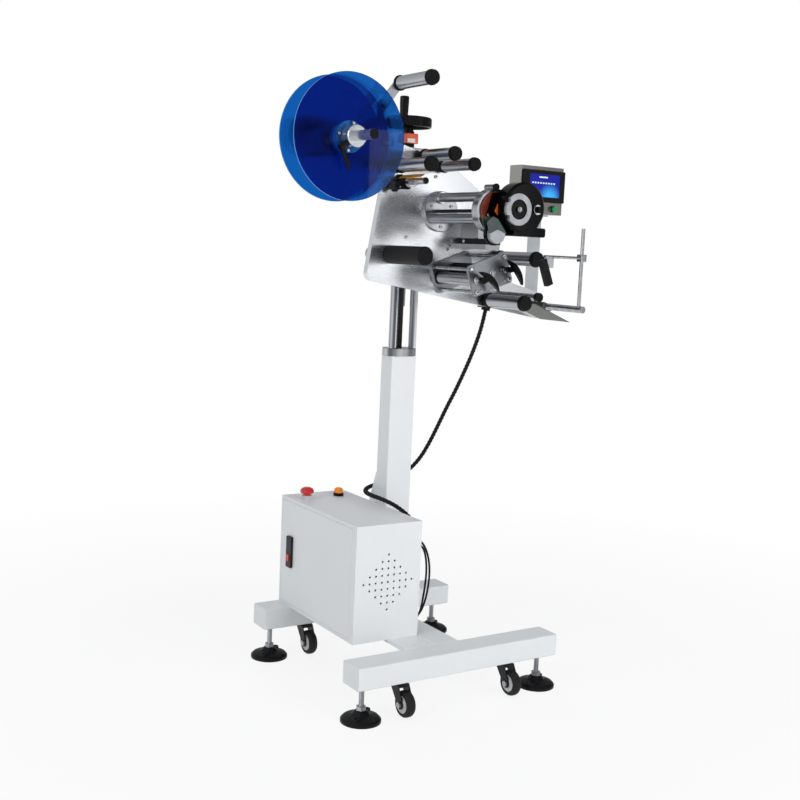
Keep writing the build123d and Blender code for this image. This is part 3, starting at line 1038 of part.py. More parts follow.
# Behind the main plate: a square motor for the drive roller, a gear motor for the mandrel, the cable outlet
motor = stepper((drive_axis[0] - MOTOR_SIDE / 2, drive_axis[0] + MOTOR_SIDE / 2),
                (PLATE_BACK, PLATE_BACK + MOTOR_LENGTH),
                (drive_axis[1] - MOTOR_SIDE / 2, drive_axis[1] + MOTOR_SIDE / 2))
bore_y = (PLATE_BACK - 1, PLATE_BACK + MOTOR_BORE_DEEP)
motor -= along_y(DRIVE_SHAFT_R + RUN, bore_y, drive_axis)
gear_y = (PLATE_BACK, PLATE_BACK + REWIND_MOTOR_LENGTH)
gear_motor = along_y(REWIND_MOTOR_R, gear_y, MANDREL_AXIS)
gear_motor = chamfer(gear_motor.edges().group_by(Axis.Y)[-1], 3)
gear_motor -= along_y(MANDREL_SHAFT_R + RUN, bore_y, MANDREL_AXIS)
exit_end = Vector(*MAIN_CABLE[0])
exit_gland = extrude(Plane(exit_end, z_dir=exit_end - Vector(*MAIN_CABLE[1])) * Circle(GLAND_R),
                     amount=GLAND_R)
bracket_x = (exit_end.X - BRACKET_WIDTH / 2, exit_end.X + BRACKET_WIDTH / 2)
bracket_z = exit_end.Z + GLAND_R - BRACKET_THICK
exit_gland += block(bracket_x, (PLATE_BACK, exit_end.Y + GLAND_R + 4),
                    (bracket_z, bracket_z + BRACKET_THICK))
exit_gland += block(bracket_x, (PLATE_BACK, PLATE_BACK + BRACKET_THICK),
                    (bracket_z, bracket_z + BRACKET_WIDTH))
parts["drive_motors"] = group(motor, gear_motor, exit_gland)

# Liner rewind mandrel: a black drum on its motor's shaft
mandrel_back = PLATE_FRONT - 2
mandrel = turned_y([(0, MANDREL_END), (MANDREL_R - 3, MANDREL_END), (MANDREL_R, MANDREL_END + 3),
                    (MANDREL_R, mandrel_back), (MANDREL_SHAFT_R, mandrel_back),
                    (MANDREL_SHAFT_R, PLATE_BACK + MOTOR_BORE_DEEP - 2),
                    (0, PLATE_BACK + MOTOR_BORE_DEEP - 2)],
                   MANDREL_AXIS)
parts["rewind_mandrel"] = mandrel

# Peel blade: a thin plate under its clamping bar
fall = degrees(atan2(BLADE_TIP[1] - BLADE_ROOT[1], BLADE_TIP[0] - BLADE_ROOT[0]))
blade_length = hypot(BLADE_TIP[0] - BLADE_ROOT[0], BLADE_TIP[1] - BLADE_ROOT[1])
blade_line = Pos(*BLADE_ROOT) * Rot(Z=fall)
blade_face = blade_line * make_face(Polyline((0, 0), (blade_length - 6, 0),
                                             (blade_length, BLADE_THICK * 0.7),
                                             (blade_length, BLADE_THICK), (0, BLADE_THICK), close=True))
peel = slab(blade_face, (BLADE_OUTER_Y, BLADE_INNER_Y))
bar_u = BLADE_BAR_SHARE * blade_length
bar_outline = RectangleRounded(BLADE_BAR_WIDTH, BLADE_BAR_THICK, 3)
bar_face = blade_line * Pos(bar_u, BLADE_THICK + BLADE_BAR_THICK / 2) * bar_outline
parts["peel_blade"] = group(peel, slab(bar_face, (BLADE_BAR_END, PLATE_FRONT)))

# Sensor stand: a rod out of the blade bar and a post through it; the sensor hangs from a clamp on the post
turn = radians(fall)
bar_w = BLADE_THICK + BLADE_BAR_THICK / 2
stand = (BLADE_ROOT[0] + bar_u * cos(turn) - bar_w * sin(turn),
         BLADE_ROOT[1] + bar_u * sin(turn) + bar_w * cos(turn))
stand_rod = along_y(STAND_ROD_R, (STAND_ROD_END, BLADE_BAR_END), stand)
parts["sensor_stand"] = stand_rod + along_z(POST_R, (stand[1], POST_TOP), (stand[0], POST_Y))
clamp = Pos(stand[0], POST_Y, CLAMP_Z) * Box(CLAMP_SIDE, CLAMP_SIDE, CLAMP_SIDE)
clamp = chamfer(clamp.edges(), 1.5)
sensor_bar = Rot(Y=90) * Cylinder(SENSOR_BAR_R, stand[0] - SENSOR_X + SENSOR_BAR_PAST)
clamp += Pos((SENSOR_X + stand[0] + SENSOR_BAR_PAST) / 2, POST_Y, CLAMP_Z) * sensor_bar
clamp -= along_z(POST_R + RUN, (CLAMP_Z - CLAMP_SIDE, CLAMP_Z + CLAMP_SIDE), (stand[0], POST_Y))
plate_y = (POST_Y + SENSOR_BAR_R - 1, POST_Y + SENSOR_BAR_R - 1 + SENSOR_PLATE_THICK)
clamp += block((SENSOR_X, SENSOR_X + SENSOR_PLATE_WIDTH), plate_y,
               (CLAMP_Z - SENSOR_PLATE_HEIGHT, CLAMP_Z + 4))
sensor = Box(SENSOR_WIDTH, SENSOR_DEPTH, SENSOR_HEIGHT)
sensor = fillet(sensor.edges().filter_by(Axis.Z), 2)
sensor = Pos(SENSOR_X, plate_y[0] - SENSOR_DEPTH / 2, CLAMP_Z - SENSOR_DROP) * Rot(Y=-SENSOR_LEAN) * sensor
bar_room = Pos(SENSOR_X, POST_Y, CLAMP_Z) * Rot(Y=90) * Cylinder(SENSOR_BAR_R, 2 * SENSOR_WIDTH)
parts["sensor_head"] = group(clamp, sensor - bar_room)

# Operator panel: a folded steel box on a strip, a moulded bezel and the start button's collar
hmi_x = (HMI_X, HMI_X + HMI_WIDTH)
hmi_z = (HMI_BOTTOM, HMI_BOTTOM + HMI_HEIGHT)
hmi_y = (HMI_FRONT, HMI_FRONT + HMI_DEPTH)
box = fillet(block(hmi_x, hmi_y, hmi_z).edges().filter_by(Axis.Z), HMI_CORNER)
stem_room = along_y(START_STEM_R + RUN, (HMI_FRONT - START_COLLAR - 1, HMI_FRONT + START_PROUD + 4),
                    (START_X, START_Z))
box -= stem_room
bezel_x = (HMI_X + BEZEL_LEFT, HMI_X + BEZEL_LEFT + BEZEL_WIDTH)
bezel_z = (hmi_z[1] - BEZEL_TOP - BEZEL_HEIGHT, hmi_z[1] - BEZEL_TOP)
bezel_y = (HMI_FRONT - BEZEL_THICK, HMI_FRONT)
bezel = block(bezel_x, bezel_y, bezel_z)
bezel = fillet(bezel.edges().filter_by(Axis.Y), 4)
screen_x = (bezel_x[0] + SCREEN_LEFT, bezel_x[0] + SCREEN_LEFT + SCREEN_WIDTH)
screen_z = (bezel_z[1] - SCREEN_TOP - SCREEN_HEIGHT, bezel_z[1] - SCREEN_TOP)
bezel -= block(screen_x, (bezel_y[0], bezel_y[0] + SCREEN_DEEP), screen_z)
start_collar = along_y(START_COLLAR_R, (HMI_FRONT - START_COLLAR, HMI_FRONT),
                       (START_X, START_Z)) - stem_room
strip_x = (STRIP_X, STRIP_X + STRIP_WIDTH)
strip = block(strip_x, (PLATE_BACK, PLATE_BACK + STRIP_THICK), (STRIP_BOTTOM, HMI_BOTTOM - STRIP_THICK))
strip_top = block(strip_x, (HMI_FRONT + 6, PLATE_BACK + STRIP_THICK),
                  (HMI_BOTTOM - STRIP_THICK, HMI_BOTTOM))
parts["operator_panel"] = group(box, bezel, start_collar, strip, strip_top)

# Start button: a green head on a stem
head_y = (HMI_FRONT - START_COLLAR - START_PROUD, HMI_FRONT - START_COLLAR - START_PROUD + 7)
start = turned_y([(0, head_y[0]), (START_R - 2, head_y[0]), (START_R, head_y[0] + 2), (START_R, head_y[1]),
                  (START_STEM_R, head_y[1]), (START_STEM_R, HMI_FRONT + START_PROUD - 2),
                  (0, HMI_FRONT + START_PROUD - 2)],
                 (START_X, START_Z))
parts["start_button"] = start

# Cables
parts["main_cable"] = cord(MAIN_CABLE, MAIN_CABLE_R, "main cable")
loops = [cord(points, LOOP_CABLE_R, f"loop cable {index}") for index, points in enumerate(LOOP_CABLES)]
parts["loop_cables"] = group(*loops)

os.makedirs("parts", exist_ok=True)
for node, shape in parts.items():
    shape.label = node
    export_step(shape, f"parts/{node}.step")
print(f"{len(parts)} nodes")
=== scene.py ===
import bmesh
import bpy
from math import atan2, cos, hypot, pi, radians, sin
from mathutils import Matrix, Vector


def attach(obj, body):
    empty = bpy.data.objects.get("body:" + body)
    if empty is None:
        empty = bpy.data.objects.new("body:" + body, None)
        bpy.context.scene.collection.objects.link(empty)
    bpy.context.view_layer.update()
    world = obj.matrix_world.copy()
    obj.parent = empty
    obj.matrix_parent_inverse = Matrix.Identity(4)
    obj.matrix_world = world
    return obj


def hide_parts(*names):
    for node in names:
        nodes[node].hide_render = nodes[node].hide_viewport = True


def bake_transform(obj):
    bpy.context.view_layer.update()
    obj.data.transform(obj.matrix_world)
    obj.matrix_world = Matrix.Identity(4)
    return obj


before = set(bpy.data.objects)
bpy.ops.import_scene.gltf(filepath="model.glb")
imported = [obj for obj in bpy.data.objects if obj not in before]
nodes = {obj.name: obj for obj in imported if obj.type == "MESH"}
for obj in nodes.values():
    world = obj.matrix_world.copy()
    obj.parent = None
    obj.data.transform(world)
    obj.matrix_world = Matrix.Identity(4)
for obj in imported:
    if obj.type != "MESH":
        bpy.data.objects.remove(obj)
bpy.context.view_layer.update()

# Camera: stands in front and to the left of the machine, a little above the cabinet,
# with the small roll of a hand-held shot.
CAMERA_PLACE = (-1.7748, -2.6959, 1.190)
CAMERA_YAW = 0.572
CAMERA_PITCH = 0.125
CAMERA_ROLL = -0.045
CAMERA_LENS = 52.3
CAMERA_SENSOR = 36
scene = bpy.context.scene
forward = Vector((
    sin(CAMERA_YAW) * cos(CAMERA_PITCH),
    cos(CAMERA_YAW) * cos(CAMERA_PITCH),
    -sin(CAMERA_PITCH),
))
level = Vector((cos(CAMERA_YAW), -sin(CAMERA_YAW), 0))
down = forward.cross(level)
across = cos(CAMERA_ROLL) * level + sin(CAMERA_ROLL) * down
upward = sin(CAMERA_ROLL) * level - cos(CAMERA_ROLL) * down
camera = bpy.data.objects.new("camera", bpy.data.cameras.new("camera"))
camera.data.lens = CAMERA_LENS
camera.data.sensor_width = CAMERA_SENSOR
turn = Matrix((across, upward, -forward)).transposed()
camera.matrix_world = Matrix.Translation(CAMERA_PLACE) @ turn.to_4x4()
scene.collection.objects.link(camera)
scene.camera = camera
scene.view_settings.view_transform = "Standard"


# Floor: a white seamless floor that keeps a soft shadow near the machine and fades to the white of
# the backdrop further out.
class Value:
    """A shader value that can be written into Python arithmetic."""

    def __init__(self, tree, socket):
        self.tree = tree
        self.socket = socket

    def maths(self, operation, first, second):
        node = self.tree.nodes.new("ShaderNodeMath")
        node.operation = operation
        for slot, item in zip(node.inputs, (first, second)):
            if isinstance(item, Value):
                self.tree.links.new(item.socket, slot)
            else:
                slot.default_value = item
        return Value(self.tree, node.outputs[0])

    def __add__(self, other):
        return self.maths("ADD", self, other)

    __radd__ = __add__

    def __sub__(self, other):
        return self.maths("SUBTRACT", self, other)

    def __rsub__(self, other):
        return self.maths("SUBTRACT", other, self)

    def __mul__(self, other):
        return self.maths("MULTIPLY", self, other)

    __rmul__ = __mul__

    def __gt__(self, other):
        return self.maths("GREATER_THAN", self, other)

    def __lt__(self, other):
        return self.maths("LESS_THAN", self, other)

    def clamp(self):
        return self.maths("MINIMUM", self.maths("MAXIMUM", self, 0.0), 1.0)


class Shading:
    """A node tree, and the one method that adds nodes to it."""

    def __init__(self, tree):
        self.tree = tree

    def node(self, kind, settings, sockets, output=0):
        node = self.tree.nodes.new(kind)
        for key, value in settings.items():
            setattr(node, key, value)
        for key, value in sockets.items():
            if isinstance(value, Value):
                self.tree.links.new(value.socket, node.inputs[key])
            else:
                node.inputs[key].default_value = value
        return Value(self.tree, node.outputs[output])

    def rays(self, kind):
        """1 for rays of one kind, such as those of the camera, and 0 for the rest."""
        return self.node("ShaderNodeLightPath", {}, {}, f"Is {kind} Ray")


def tone(red, green, blue):
    """A screen colour, 0 to 255, as the linear colour that a shader takes."""
    shares = [part / 255 for part in (red, green, blue)]
    return tuple(s / 12.92 if s < 0.04045 else ((s + 0.055) / 1.055) ** 2.4 for s in shares)


class Finish(Shading):
    """A material with one Principled shader, and the patterns that the finishes share."""

    ROUGHNESS_SPREAD = 0.16
    FINER = 8
    GRAIN_DEPTH = 0.0005

    def __init__(self, name, colour, roughness, metallic=0.0, **plain):
        self.material = bpy.data.materials.new(name)
        self.material.use_nodes = True
        super().__init__(self.material.node_tree)
        self.shader = self.tree.nodes["Principled BSDF"]
        self.surface = Value(self.tree, self.shader.outputs[0])
        self.colour = colour
        self.roughness = roughness
        self.shader.inputs["Base Color"].default_value = (*colour, 1)
        self.shader.inputs["Roughness"].default_value = roughness
        self.shader.inputs["Metallic"].default_value = metallic
        for socket, value in plain.items():
            self.shader.inputs[socket.replace("_", " ")].default_value = value

    def feed(self, socket, value):
        self.tree.links.new(value.socket, self.shader.inputs[socket])

    def mottle(self, scale, stretch=(1, 1, 1), tilt=(0, 0, 0), detail=3.0):
        """Soft noise over the piece, drawn out along one axis where it has a grain."""
        place = self.node("ShaderNodeTexCoord", {}, {}, "Object")
        place = self.node("ShaderNodeMapping", {}, {"Vector": place, "Rotation": tilt})
        place = self.node("ShaderNodeMapping", {}, {"Vector": place, "Scale": stretch})
        return self.node("ShaderNodeTexNoise", {}, {"Vector": place, "Scale": scale, "Detail": detail})

    def streaks(self, scale, stretch, crisp):
        """Painted reflection: noise drawn out along one axis, pushed towards its two ends, as the light and
        dark bands that polished metal mirrors.
        """
        return ((self.mottle(scale, stretch, detail=1.0) - 0.5) * crisp + 0.5).clamp()

    def two_colours(self, factor, first, second):
        """One colour laid into another by a factor. Either may be a plain colour or a pattern."""
        ends = [item if isinstance(item, Value) else (*item, 1) for item in (first, second)]
        return self.node("ShaderNodeMix", {"data_type": "RGBA"}, {0: factor, 6: ends[0], 7: ends[1]}, 2)

    def shift_colour(self, factor, other):
        """Base colour that goes to another one as the factor goes from 0 to 1."""
        self.feed("Base Color", self.two_colours(factor, self.colour, other))

    def vary(self, scale, other, grain=0.0, stretch=(1, 1, 1)):
        """Soft patches of another tone, with a fine grain where the surface is moulded."""
        patches = self.mottle(scale, stretch)
        self.shift_colour(patches, other)
        self.feed("Roughness", patches * self.ROUGHNESS_SPREAD + (self.roughness - self.ROUGHNESS_SPREAD / 2))
        if grain:
            self.grain(self.mottle(scale * self.FINER, detail=1.0), grain, self.GRAIN_DEPTH)

    def blend_shader(self, factor, other):
        """Goes from the surface so far to another shader as the factor goes from 0 to 1."""
        self.surface = self.node("ShaderNodeMixShader", {}, {0: factor, 1: self.surface, 2: other})
        self.tree.links.new(self.surface.socket, self.tree.nodes["Material Output"].inputs["Surface"])

    def threads(self, pitch, strength, distance):
        """Ridges along Z, one for each turn of a thread."""
        place = self.node("ShaderNodeTexCoord", {}, {}, "Object")
        # A wave texture of scale 1 has a ridge every pi / 10 of a metre.
        waves = {"Vector": place, "Scale": pi / (10 * pitch)}
        self.grain(self.node("ShaderNodeTexWave", {"bands_direction": "Z"}, waves), strength, distance)

    def grain(self, height, strength, distance):
        relief = {"Height": height, "Strength": strength, "Distance": distance}
        self.feed("Normal", self.node("ShaderNodeBump", {}, relief))


FLOOR_R = 40
FLOOR_SIDES = 64
FLOOR_GLOW = 0.84
FADE_FROM = 0.9
FADE_OVER = 1.6
WHITE = (1, 1, 1, 1)
floor = bpy.data.objects.new("floor", bpy.data.meshes.new("floor"))
shape = bmesh.new()
bmesh.ops.create_circle(shape, cap_ends=True, segments=FLOOR_SIDES, radius=FLOOR_R)
shape.to_mesh(floor.data)
shape.free()
pale_floor = Finish("pale_floor", tone(244, 245, 246), 0.9)
spot = pale_floor.node("ShaderNodeTexCoord", {}, {}, "Object")
away = pale_floor.node("ShaderNodeVectorMath", {"operation": "LENGTH"}, {0: spot}, "Value")
fade = ((away - FADE_FROM) * (1 / FADE_OVER)).clamp()
seen = (pale_floor.rays("Camera") + pale_floor.rays("Glossy") + pale_floor.rays("Transmission")).clamp()
glow = pale_floor.node("ShaderNodeEmission", {}, {"Color": WHITE, "Strength": 1.0})
pale_floor.blend_shader((fade * (1 - FLOOR_GLOW) + FLOOR_GLOW) * seen, glow)
floor.data.materials.append(pale_floor.material)
scene.collection.objects.link(floor)

# Light: a broad lamp in front, softer ones on the left and behind, and a small one that the polished
# plate mirrors. Each has its place, what it faces, side, watts, and whether metal mirrors it.
LAMPS = [
    ("front_lamp", (0.9, -3.8, 1.9), (0, 0, 0.9), 2.4, 78, False),
    ("left_lamp", (-3.4, -1.0, 2.3), (0, 0, 0.9), 2.2, 42, True),
    ("back_lamp", (0.6, 3.4, 2.6), (0, 0, 1.0), 2.4, 34, False),
    ("mirrored_lamp", (2.1, -3.4, 1.5), (0, 0, 1.3), 0.8, 5.5, True),
]
for name, place, aim, side, power, mirrored in LAMPS:
    lamp = bpy.data.objects.new(name, bpy.data.lights.new(name, "AREA"))
    lamp.data.energy = power
    lamp.data.size = side
    lamp.location = place
    lamp.rotation_euler = (Vector(aim) - Vector(place)).to_track_quat("-Z", "Y").to_euler()
    lamp.visible_camera = False
    lamp.visible_transmission = False
    lamp.visible_glossy = mirrored
    scene.collection.objects.link(lamp)

# Studio: an even pale room that is white to the camera. Metal mirrors it a little darker on the
# right, as in a studio with its lamps on the left.
STUDIO_TINT = (0.985, 0.993, 1.0, 1)
STUDIO_LEVEL = 0.47
STUDIO_RISE = -0.14
MIRROR_FALL = 0.4
MIRRORED_WHITE = 0.14
DARK_SIDE = (1.0, -0.2)
world = bpy.data.worlds.new("studio")
scene.world = world
world.use_nodes = True
sky = world.node_tree
studio = Shading(sky)
glossy = studio.rays("Glossy")
sight = studio.node("ShaderNodeTexCoord", {}, {}, "Generated")
east, north, rise = [studio.node("ShaderNodeSeparateXYZ", {}, {"Vector": sight}, axis) for axis in "XYZ"]
towards_dark = east * DARK_SIDE[0] + north * DARK_SIDE[1]
strength = STUDIO_LEVEL + rise * STUDIO_RISE - glossy * towards_dark * MIRROR_FALL
ambient = sky.nodes["Background"]
ambient.inputs["Color"].default_value = STUDIO_TINT
sky.links.new(strength.socket, ambient.inputs["Strength"])
backdrop = studio.node("ShaderNodeBackground", {}, {"Color": WHITE})
seen = (studio.rays("Camera") + studio.rays("Transmission") + glossy * MIRRORED_WHITE).clamp()
room = studio.node("ShaderNodeMixShader", {}, {0: seen, 1: Value(sky, ambient.outputs[0]), 2: backdrop})
sky.links.new(room.socket, sky.nodes["World Output"].inputs["Surface"])

# Main cable: a bundle in black spiral wrap, about a metre long. It leaves the outlet behind the
# main plate, hangs behind the column, and goes over the cabinet's edge into a gland on its side.
MAIN_ROUTE = [
    (287, 64, 1036), (282, 67, 1000), (272, 72, 955), (257, 80, 902), (239, 90, 848), (220, 100, 796),
    (199, 112, 744), (180, 124, 690), (160, 136, 636), (136, 148, 586), (100, 157, 548), (50, 161, 526),
    (-10, 161, 514), (-42, 148, 511), (-66, 124, 509), (-79, 92, 508), (-79, 56, 507), (-65, 22, 502),
    (-38, -4, 487), (-5, -20, 459), (15, -29, 428), (21, -32, 400), (20, -34, 373), (10, -35, 350),
    (-6, -36, 331), (-27, -36, 318),
]
MAIN_DIAMETER = 0.0136
WRAP_R = 0.0016
SLEEVE_DEPTH = 0.7
SLEEVE_R = MAIN_DIAMETER / 2 - WRAP_R * SLEEVE_DEPTH


def route_curve(name, route, bevel):
    """A smooth line with the route's points, in millimetres, as its control points."""
    curve = bpy.data.curves.new(name, "CURVE")
    curve.dimensions = "3D"
    spline = curve.splines.new("NURBS")
    spline.points.add(len(route) - 1)
    for point, place in zip(spline.points, route):
        point.co = (*[value / 1000 for value in place], 1)
    spline.order_u = 3
    spline.use_endpoint_u = True
    spline.resolution_u = 12
    curve.bevel_depth = bevel
    curve.bevel_resolution = 3
    curve.use_fill_caps = True
    return bpy.data.objects.new(name, curve)


def line_of(curve_object):
    """The points that a curve with no bevel runs through, in metres."""
    mesh = bpy.data.meshes.new_from_object(curve_object)
    points = [vertex.co.copy() for vertex in mesh.vertices]
    bpy.data.meshes.remove(mesh)
    return points


def smooth_tube(name, curve_object, finish):
    """A mesh piece made of a curve and its round section."""
    tube = bpy.data.objects.new(name, bpy.data.meshes.new_from_object(curve_object))
    tube.data.name = name
    tube.data.materials.append(finish.material)
    for face in tube.data.polygons:
        face.use_smooth = True
    scene.collection.objects.link(tube)
    return tube


cable_black = Finish("cable_sleeve", tone(17, 17, 19), 0.5, Specular_IOR_Level=0.2)
cable_black.grain(cable_black.mottle(900), 0.25, 0.0006)
cable_line = line_of(route_curve("main_cable_line", MAIN_ROUTE, 0))
sleeve_curve = route_curve("main_cable_sleeve_curve", MAIN_ROUTE, SLEEVE_R)
main_cable = smooth_tube("main_cable_sleeve", sleeve_curve, cable_black)

# Spiral wrap: one plastic strip wound round the bundle from end to end, sunk a little into
# the sleeve so that its turns read as ridges.
WRAP_PITCH = 0.011
WRAP_DEPTH = 0.9
WRAP_REACH = MAIN_DIAMETER / 2 - WRAP_R * WRAP_DEPTH
STEPS_A_TURN = 10
wrap_points = []
side = Vector((0, 1, 0))
travelled = 0.0
for a, b in zip(cable_line, cable_line[1:]):
    along = (b - a).normalized()
    side = (side - side.dot(along) * along).normalized()
    third = along.cross(side)
    stretch = (b - a).length
    count = max(1, round(stretch / WRAP_PITCH * STEPS_A_TURN))
    for step in range(count):
        angle = 2 * pi * (travelled + stretch * step / count) / WRAP_PITCH
        rim = cos(angle) * side + sin(angle) * third
        wrap_points.append(a.lerp(b, step / count) + rim * WRAP_REACH)
    travelled += stretch
wrap_curve = bpy.data.curves.new("main_cable_wrap_curve", "CURVE")
wrap_curve.dimensions = "3D"
wrap_line = wrap_curve.splines.new("POLY")
wrap_line.points.add(len(wrap_points) - 1)
for point, place in zip(wrap_line.points, wrap_points):
    point.co = (*place, 1)
wrap_curve.bevel_depth = WRAP_R
wrap_curve.bevel_resolution = 1
wrap_holder = bpy.data.objects.new("main_cable_wrap_curve", wrap_curve)
cable_wrap = smooth_tube("main_cable_wrap", wrap_holder, cable_black)
for cover in (main_cable, cable_wrap):
    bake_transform(cover)
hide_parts("main_cable")

# Loop cables: two thin black leads that leave the cabinet's side high up, bow outwards and go back
# in near its foot.
LOOP_ROUTES = [
    [(-33, -106, 404), (-14, -106, 396), (0, -106, 368), (6, -106, 322), (2, -106, 272), (-5, -106, 226),
     (-14, -106, 196), (-33, -106, 180)],
    [(-33, -90, 418), (-10, -90, 408), (14, -90, 376), (27, -90, 328), (26, -90, 274), (16, -90, 226),
     (-2, -90, 190), (-33, -90, 172)],
]
LOOP_DIAMETER = 0.006
lead_black = Finish("lead_jacket", tone(16, 16, 17), 0.42, Specular_IOR_Level=0.2)
lead_black.vary(120, tone(26, 26, 27), 0.1)
for index, route in enumerate(LOOP_ROUTES):
    line = line_of(route_curve("loop_line", route, 0))
    lead = route_curve(f"loop_cable_{index + 1}", route, LOOP_DIAMETER / 2)
    lead.data.materials.append(lead_black.material)
    scene.collection.objects.link(lead)
    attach(lead, "base")
    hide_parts("loop_cables")

# Base, column and cabinet: welded steel tube and folded sheet in one satin powder coat with a
# faint orange peel. The caster plates under the beams are black. Tests are in millimetres.
BEAM_UNDERSIDE = 94.9


def wear(node, finish, *patches):
    """Gives a CAD node its finish, and gives each patch of faces that passes a test another one."""
    mesh = nodes[node].data
    mesh.materials.clear()
    for item in [finish] + [patch for patch, _ in patches]:
        mesh.materials.append(item.material)
    for face in mesh.polygons:
        face.material_index = 0
        middle = face.center * 1000
        for index, (_, test) in enumerate(patches):
            if test(middle):
                face.material_index = index + 1


powder_white = Finish("powder_white", tone(230, 233, 235), 0.42)
powder_white.grain(powder_white.mottle(420, detail=1.0), 0.06, 0.0004)
powder_white.shift_colour(powder_white.mottle(3.0), tone(225, 228, 231))
pressed_black = Finish("pressed_black", tone(18, 18, 20), 0.38, Specular_IOR_Level=0.2)
pressed_black.vary(60, tone(27, 27, 29), 0.08)
for node in ("front_beam", "rear_beam"):
    wear(node, powder_white, (pressed_black, lambda p: p.z < BEAM_UNDERSIDE))
for node in ("spine", "column", "cabinet_body", "vent_panel"):
    wear(node, powder_white)

# Levelling feet: black moulded pads on zinc-plated studs with a hex collar. Each stud screws into
# a weld nut in its beam.
FOOT_X = 286
BEAM_Y = 265
PAD_TOP = 30.05
STUD_REACH = 15
CORNERS = {"front_left": (-1, -1), "front_right": (1, -1), "rear_left": (-1, 1), "rear_right": (1, 1)}


def about_z(p, axis):
    """How far a point is from an upright axis, given by its x and y."""
    return hypot(p.x - axis[0], p.y - axis[1])


moulded_black = Finish("moulded_black", tone(16, 16, 18), 0.42, Specular_IOR_Level=0.16)
moulded_black.grain(moulded_black.mottle(700), 0.12, 0.0005)
zinc = Finish("zinc_plate", tone(186, 188, 192), 0.3, 1.0)
zinc.shift_colour(zinc.mottle(60), tone(160, 162, 166))
zinc.threads(0.002, 0.5, 0.001)
for corner, (sx, sy) in CORNERS.items():
    def on_stud(p, axis=(sx * FOOT_X, sy * BEAM_Y)):
        return p.z > PAD_TOP and about_z(p, axis) < STUD_REACH

    wear(f"foot_{corner}", moulded_black, (zinc, on_stud))

# Casters: black pressed forks that trail on a swivel under the beams, with a zinc axle bolt, and
# black rubber wheels with a white hub.
CASTER_X = 172
CASTER_TRAIL = 32
AXLE_Z = 37
FORK_OUTSIDE = 17.6
BOLT_HEAD_R = 8.1
WHEEL_HUB_R = 23


def about_x(p, axis):
    """How far a point is from an axis along X, given by its y and z."""
    return hypot(p.y - axis[0], p.z - axis[1])


tread = Finish("caster_rubber", tone(22, 22, 23), 0.6, Specular_IOR_Level=0.18)
tread.vary(90, tone(40, 39, 38), 0.25)
hub_white = Finish("hub_white", tone(214, 216, 218), 0.35)
hub_white.vary(70, tone(196, 197, 198), 0.06)
for corner, (sx, sy) in CORNERS.items():
    axle = (sy * BEAM_Y - CASTER_TRAIL, AXLE_Z)

    def on_bolt(p, x=sx * CASTER_X, axle=axle):
        return abs(p.x - x) > FORK_OUTSIDE and about_x(p, axle) < BOLT_HEAD_R

    def on_hub(p, axle=axle):
        return about_x(p, axle) < WHEEL_HUB_R

    wear(f"caster_fork_{corner}", pressed_black, (zinc, on_bolt))
    wear(f"caster_wheel_{corner}", tread, (hub_white, on_hub))

# Lift guides and screw: ground and chromed rods on a polished flange that closes the column, with a
# dark steel screw between them.
FLANGE_TOP = 926.1
polished = Finish("polished_steel", tone(206, 208, 211), 0.14, 1.0)
# Painted reflection: dark streaks laid into the polished flange's colour
polished.shift_colour(polished.streaks(24, (1, 1, 0.05), 3.5), tone(92, 96, 101))
chrome_rod = Finish("chrome_rod", tone(222, 224, 227), 0.12, 1.0)
# Painted reflection: dark bands along the chromed rods, laid into their colour
chrome_rod.shift_colour(chrome_rod.streaks(85, (1, 1, 0.01), 4.5), tone(88, 92, 97))
dark_steel = Finish("oiled_screw", tone(72, 73, 76), 0.34, 1.0)
dark_steel.threads(0.004, 0.9, 0.002)
wear("lift_guides", chrome_rod, (polished, lambda p: p.z < FLANGE_TOP))
wear("lift_screw", dark_steel)

# Cabinet door: a folded pan in the same coat, hung on two pins. It carries a black lock housing with
# its flap and a red button.
DOOR_FACE = -245.05
lock_black = Finish("lock_black", tone(30, 30, 32), 0.42, Specular_IOR_Level=0.22)
lock_black.vary(80, tone(40, 40, 42), 0.1)
signal_red = Finish("signal_red", tone(206, 28, 34), 0.28, Coat_Weight=0.4)
signal_red.vary(60, tone(190, 22, 28))
wear("cabinet_door", powder_white, (lock_black, lambda p: p.x < DOOR_FACE))
wear("latch_handle", lock_black)
wear("latch_button", signal_red)

# Cabinet fittings: the stop button's collar and an amber lamp on top, black cable glands on the side,
# and grey electrical gear on a zinc panel inside.
COLLAR_BASE = 474.5
LENS_BASE = 484.05
STOP_PLACE = (-206, 214)
LAMP_PLACE = (-94, 227)
FITTING_REACH = 16
PANEL_X = (-54.1, -41.9)
PANEL_Z = (188, 442)
GEAR_TOP = 420


def inside(value, span):
    return span[0] < value < span[1]


collar_grey = Finish("collar_grey", tone(196, 198, 200), 0.4)
collar_grey.vary(80, tone(182, 184, 187), 0.05)
amber = Finish("amber_lens", tone(255, 150, 20), 0.15, Coat_Weight=0.5)
amber.vary(90, tone(244, 132, 12))
panel_zinc = Finish("panel_zinc", tone(176, 180, 184), 0.45, 0.9)
panel_zinc.vary(25, tone(150, 154, 159))
case_grey = Finish("case_grey", tone(120, 124, 130), 0.5)
case_grey.vary(40, tone(106, 110, 117), 0.08)
wear("cabinet_fittings", moulded_black,
     (collar_grey, lambda p: p.z > COLLAR_BASE and about_z(p, STOP_PLACE) < FITTING_REACH),
     (amber, lambda p: p.z > LENS_BASE and about_z(p, LAMP_PLACE) < FITTING_REACH),
     (panel_zinc, lambda p: inside(p.x, PANEL_X) and inside(p.z, PANEL_Z)),
     (case_grey, lambda p: p.x < PANEL_X[0] and p.z < GEAR_TOP))
wear("estop_button", signal_red)

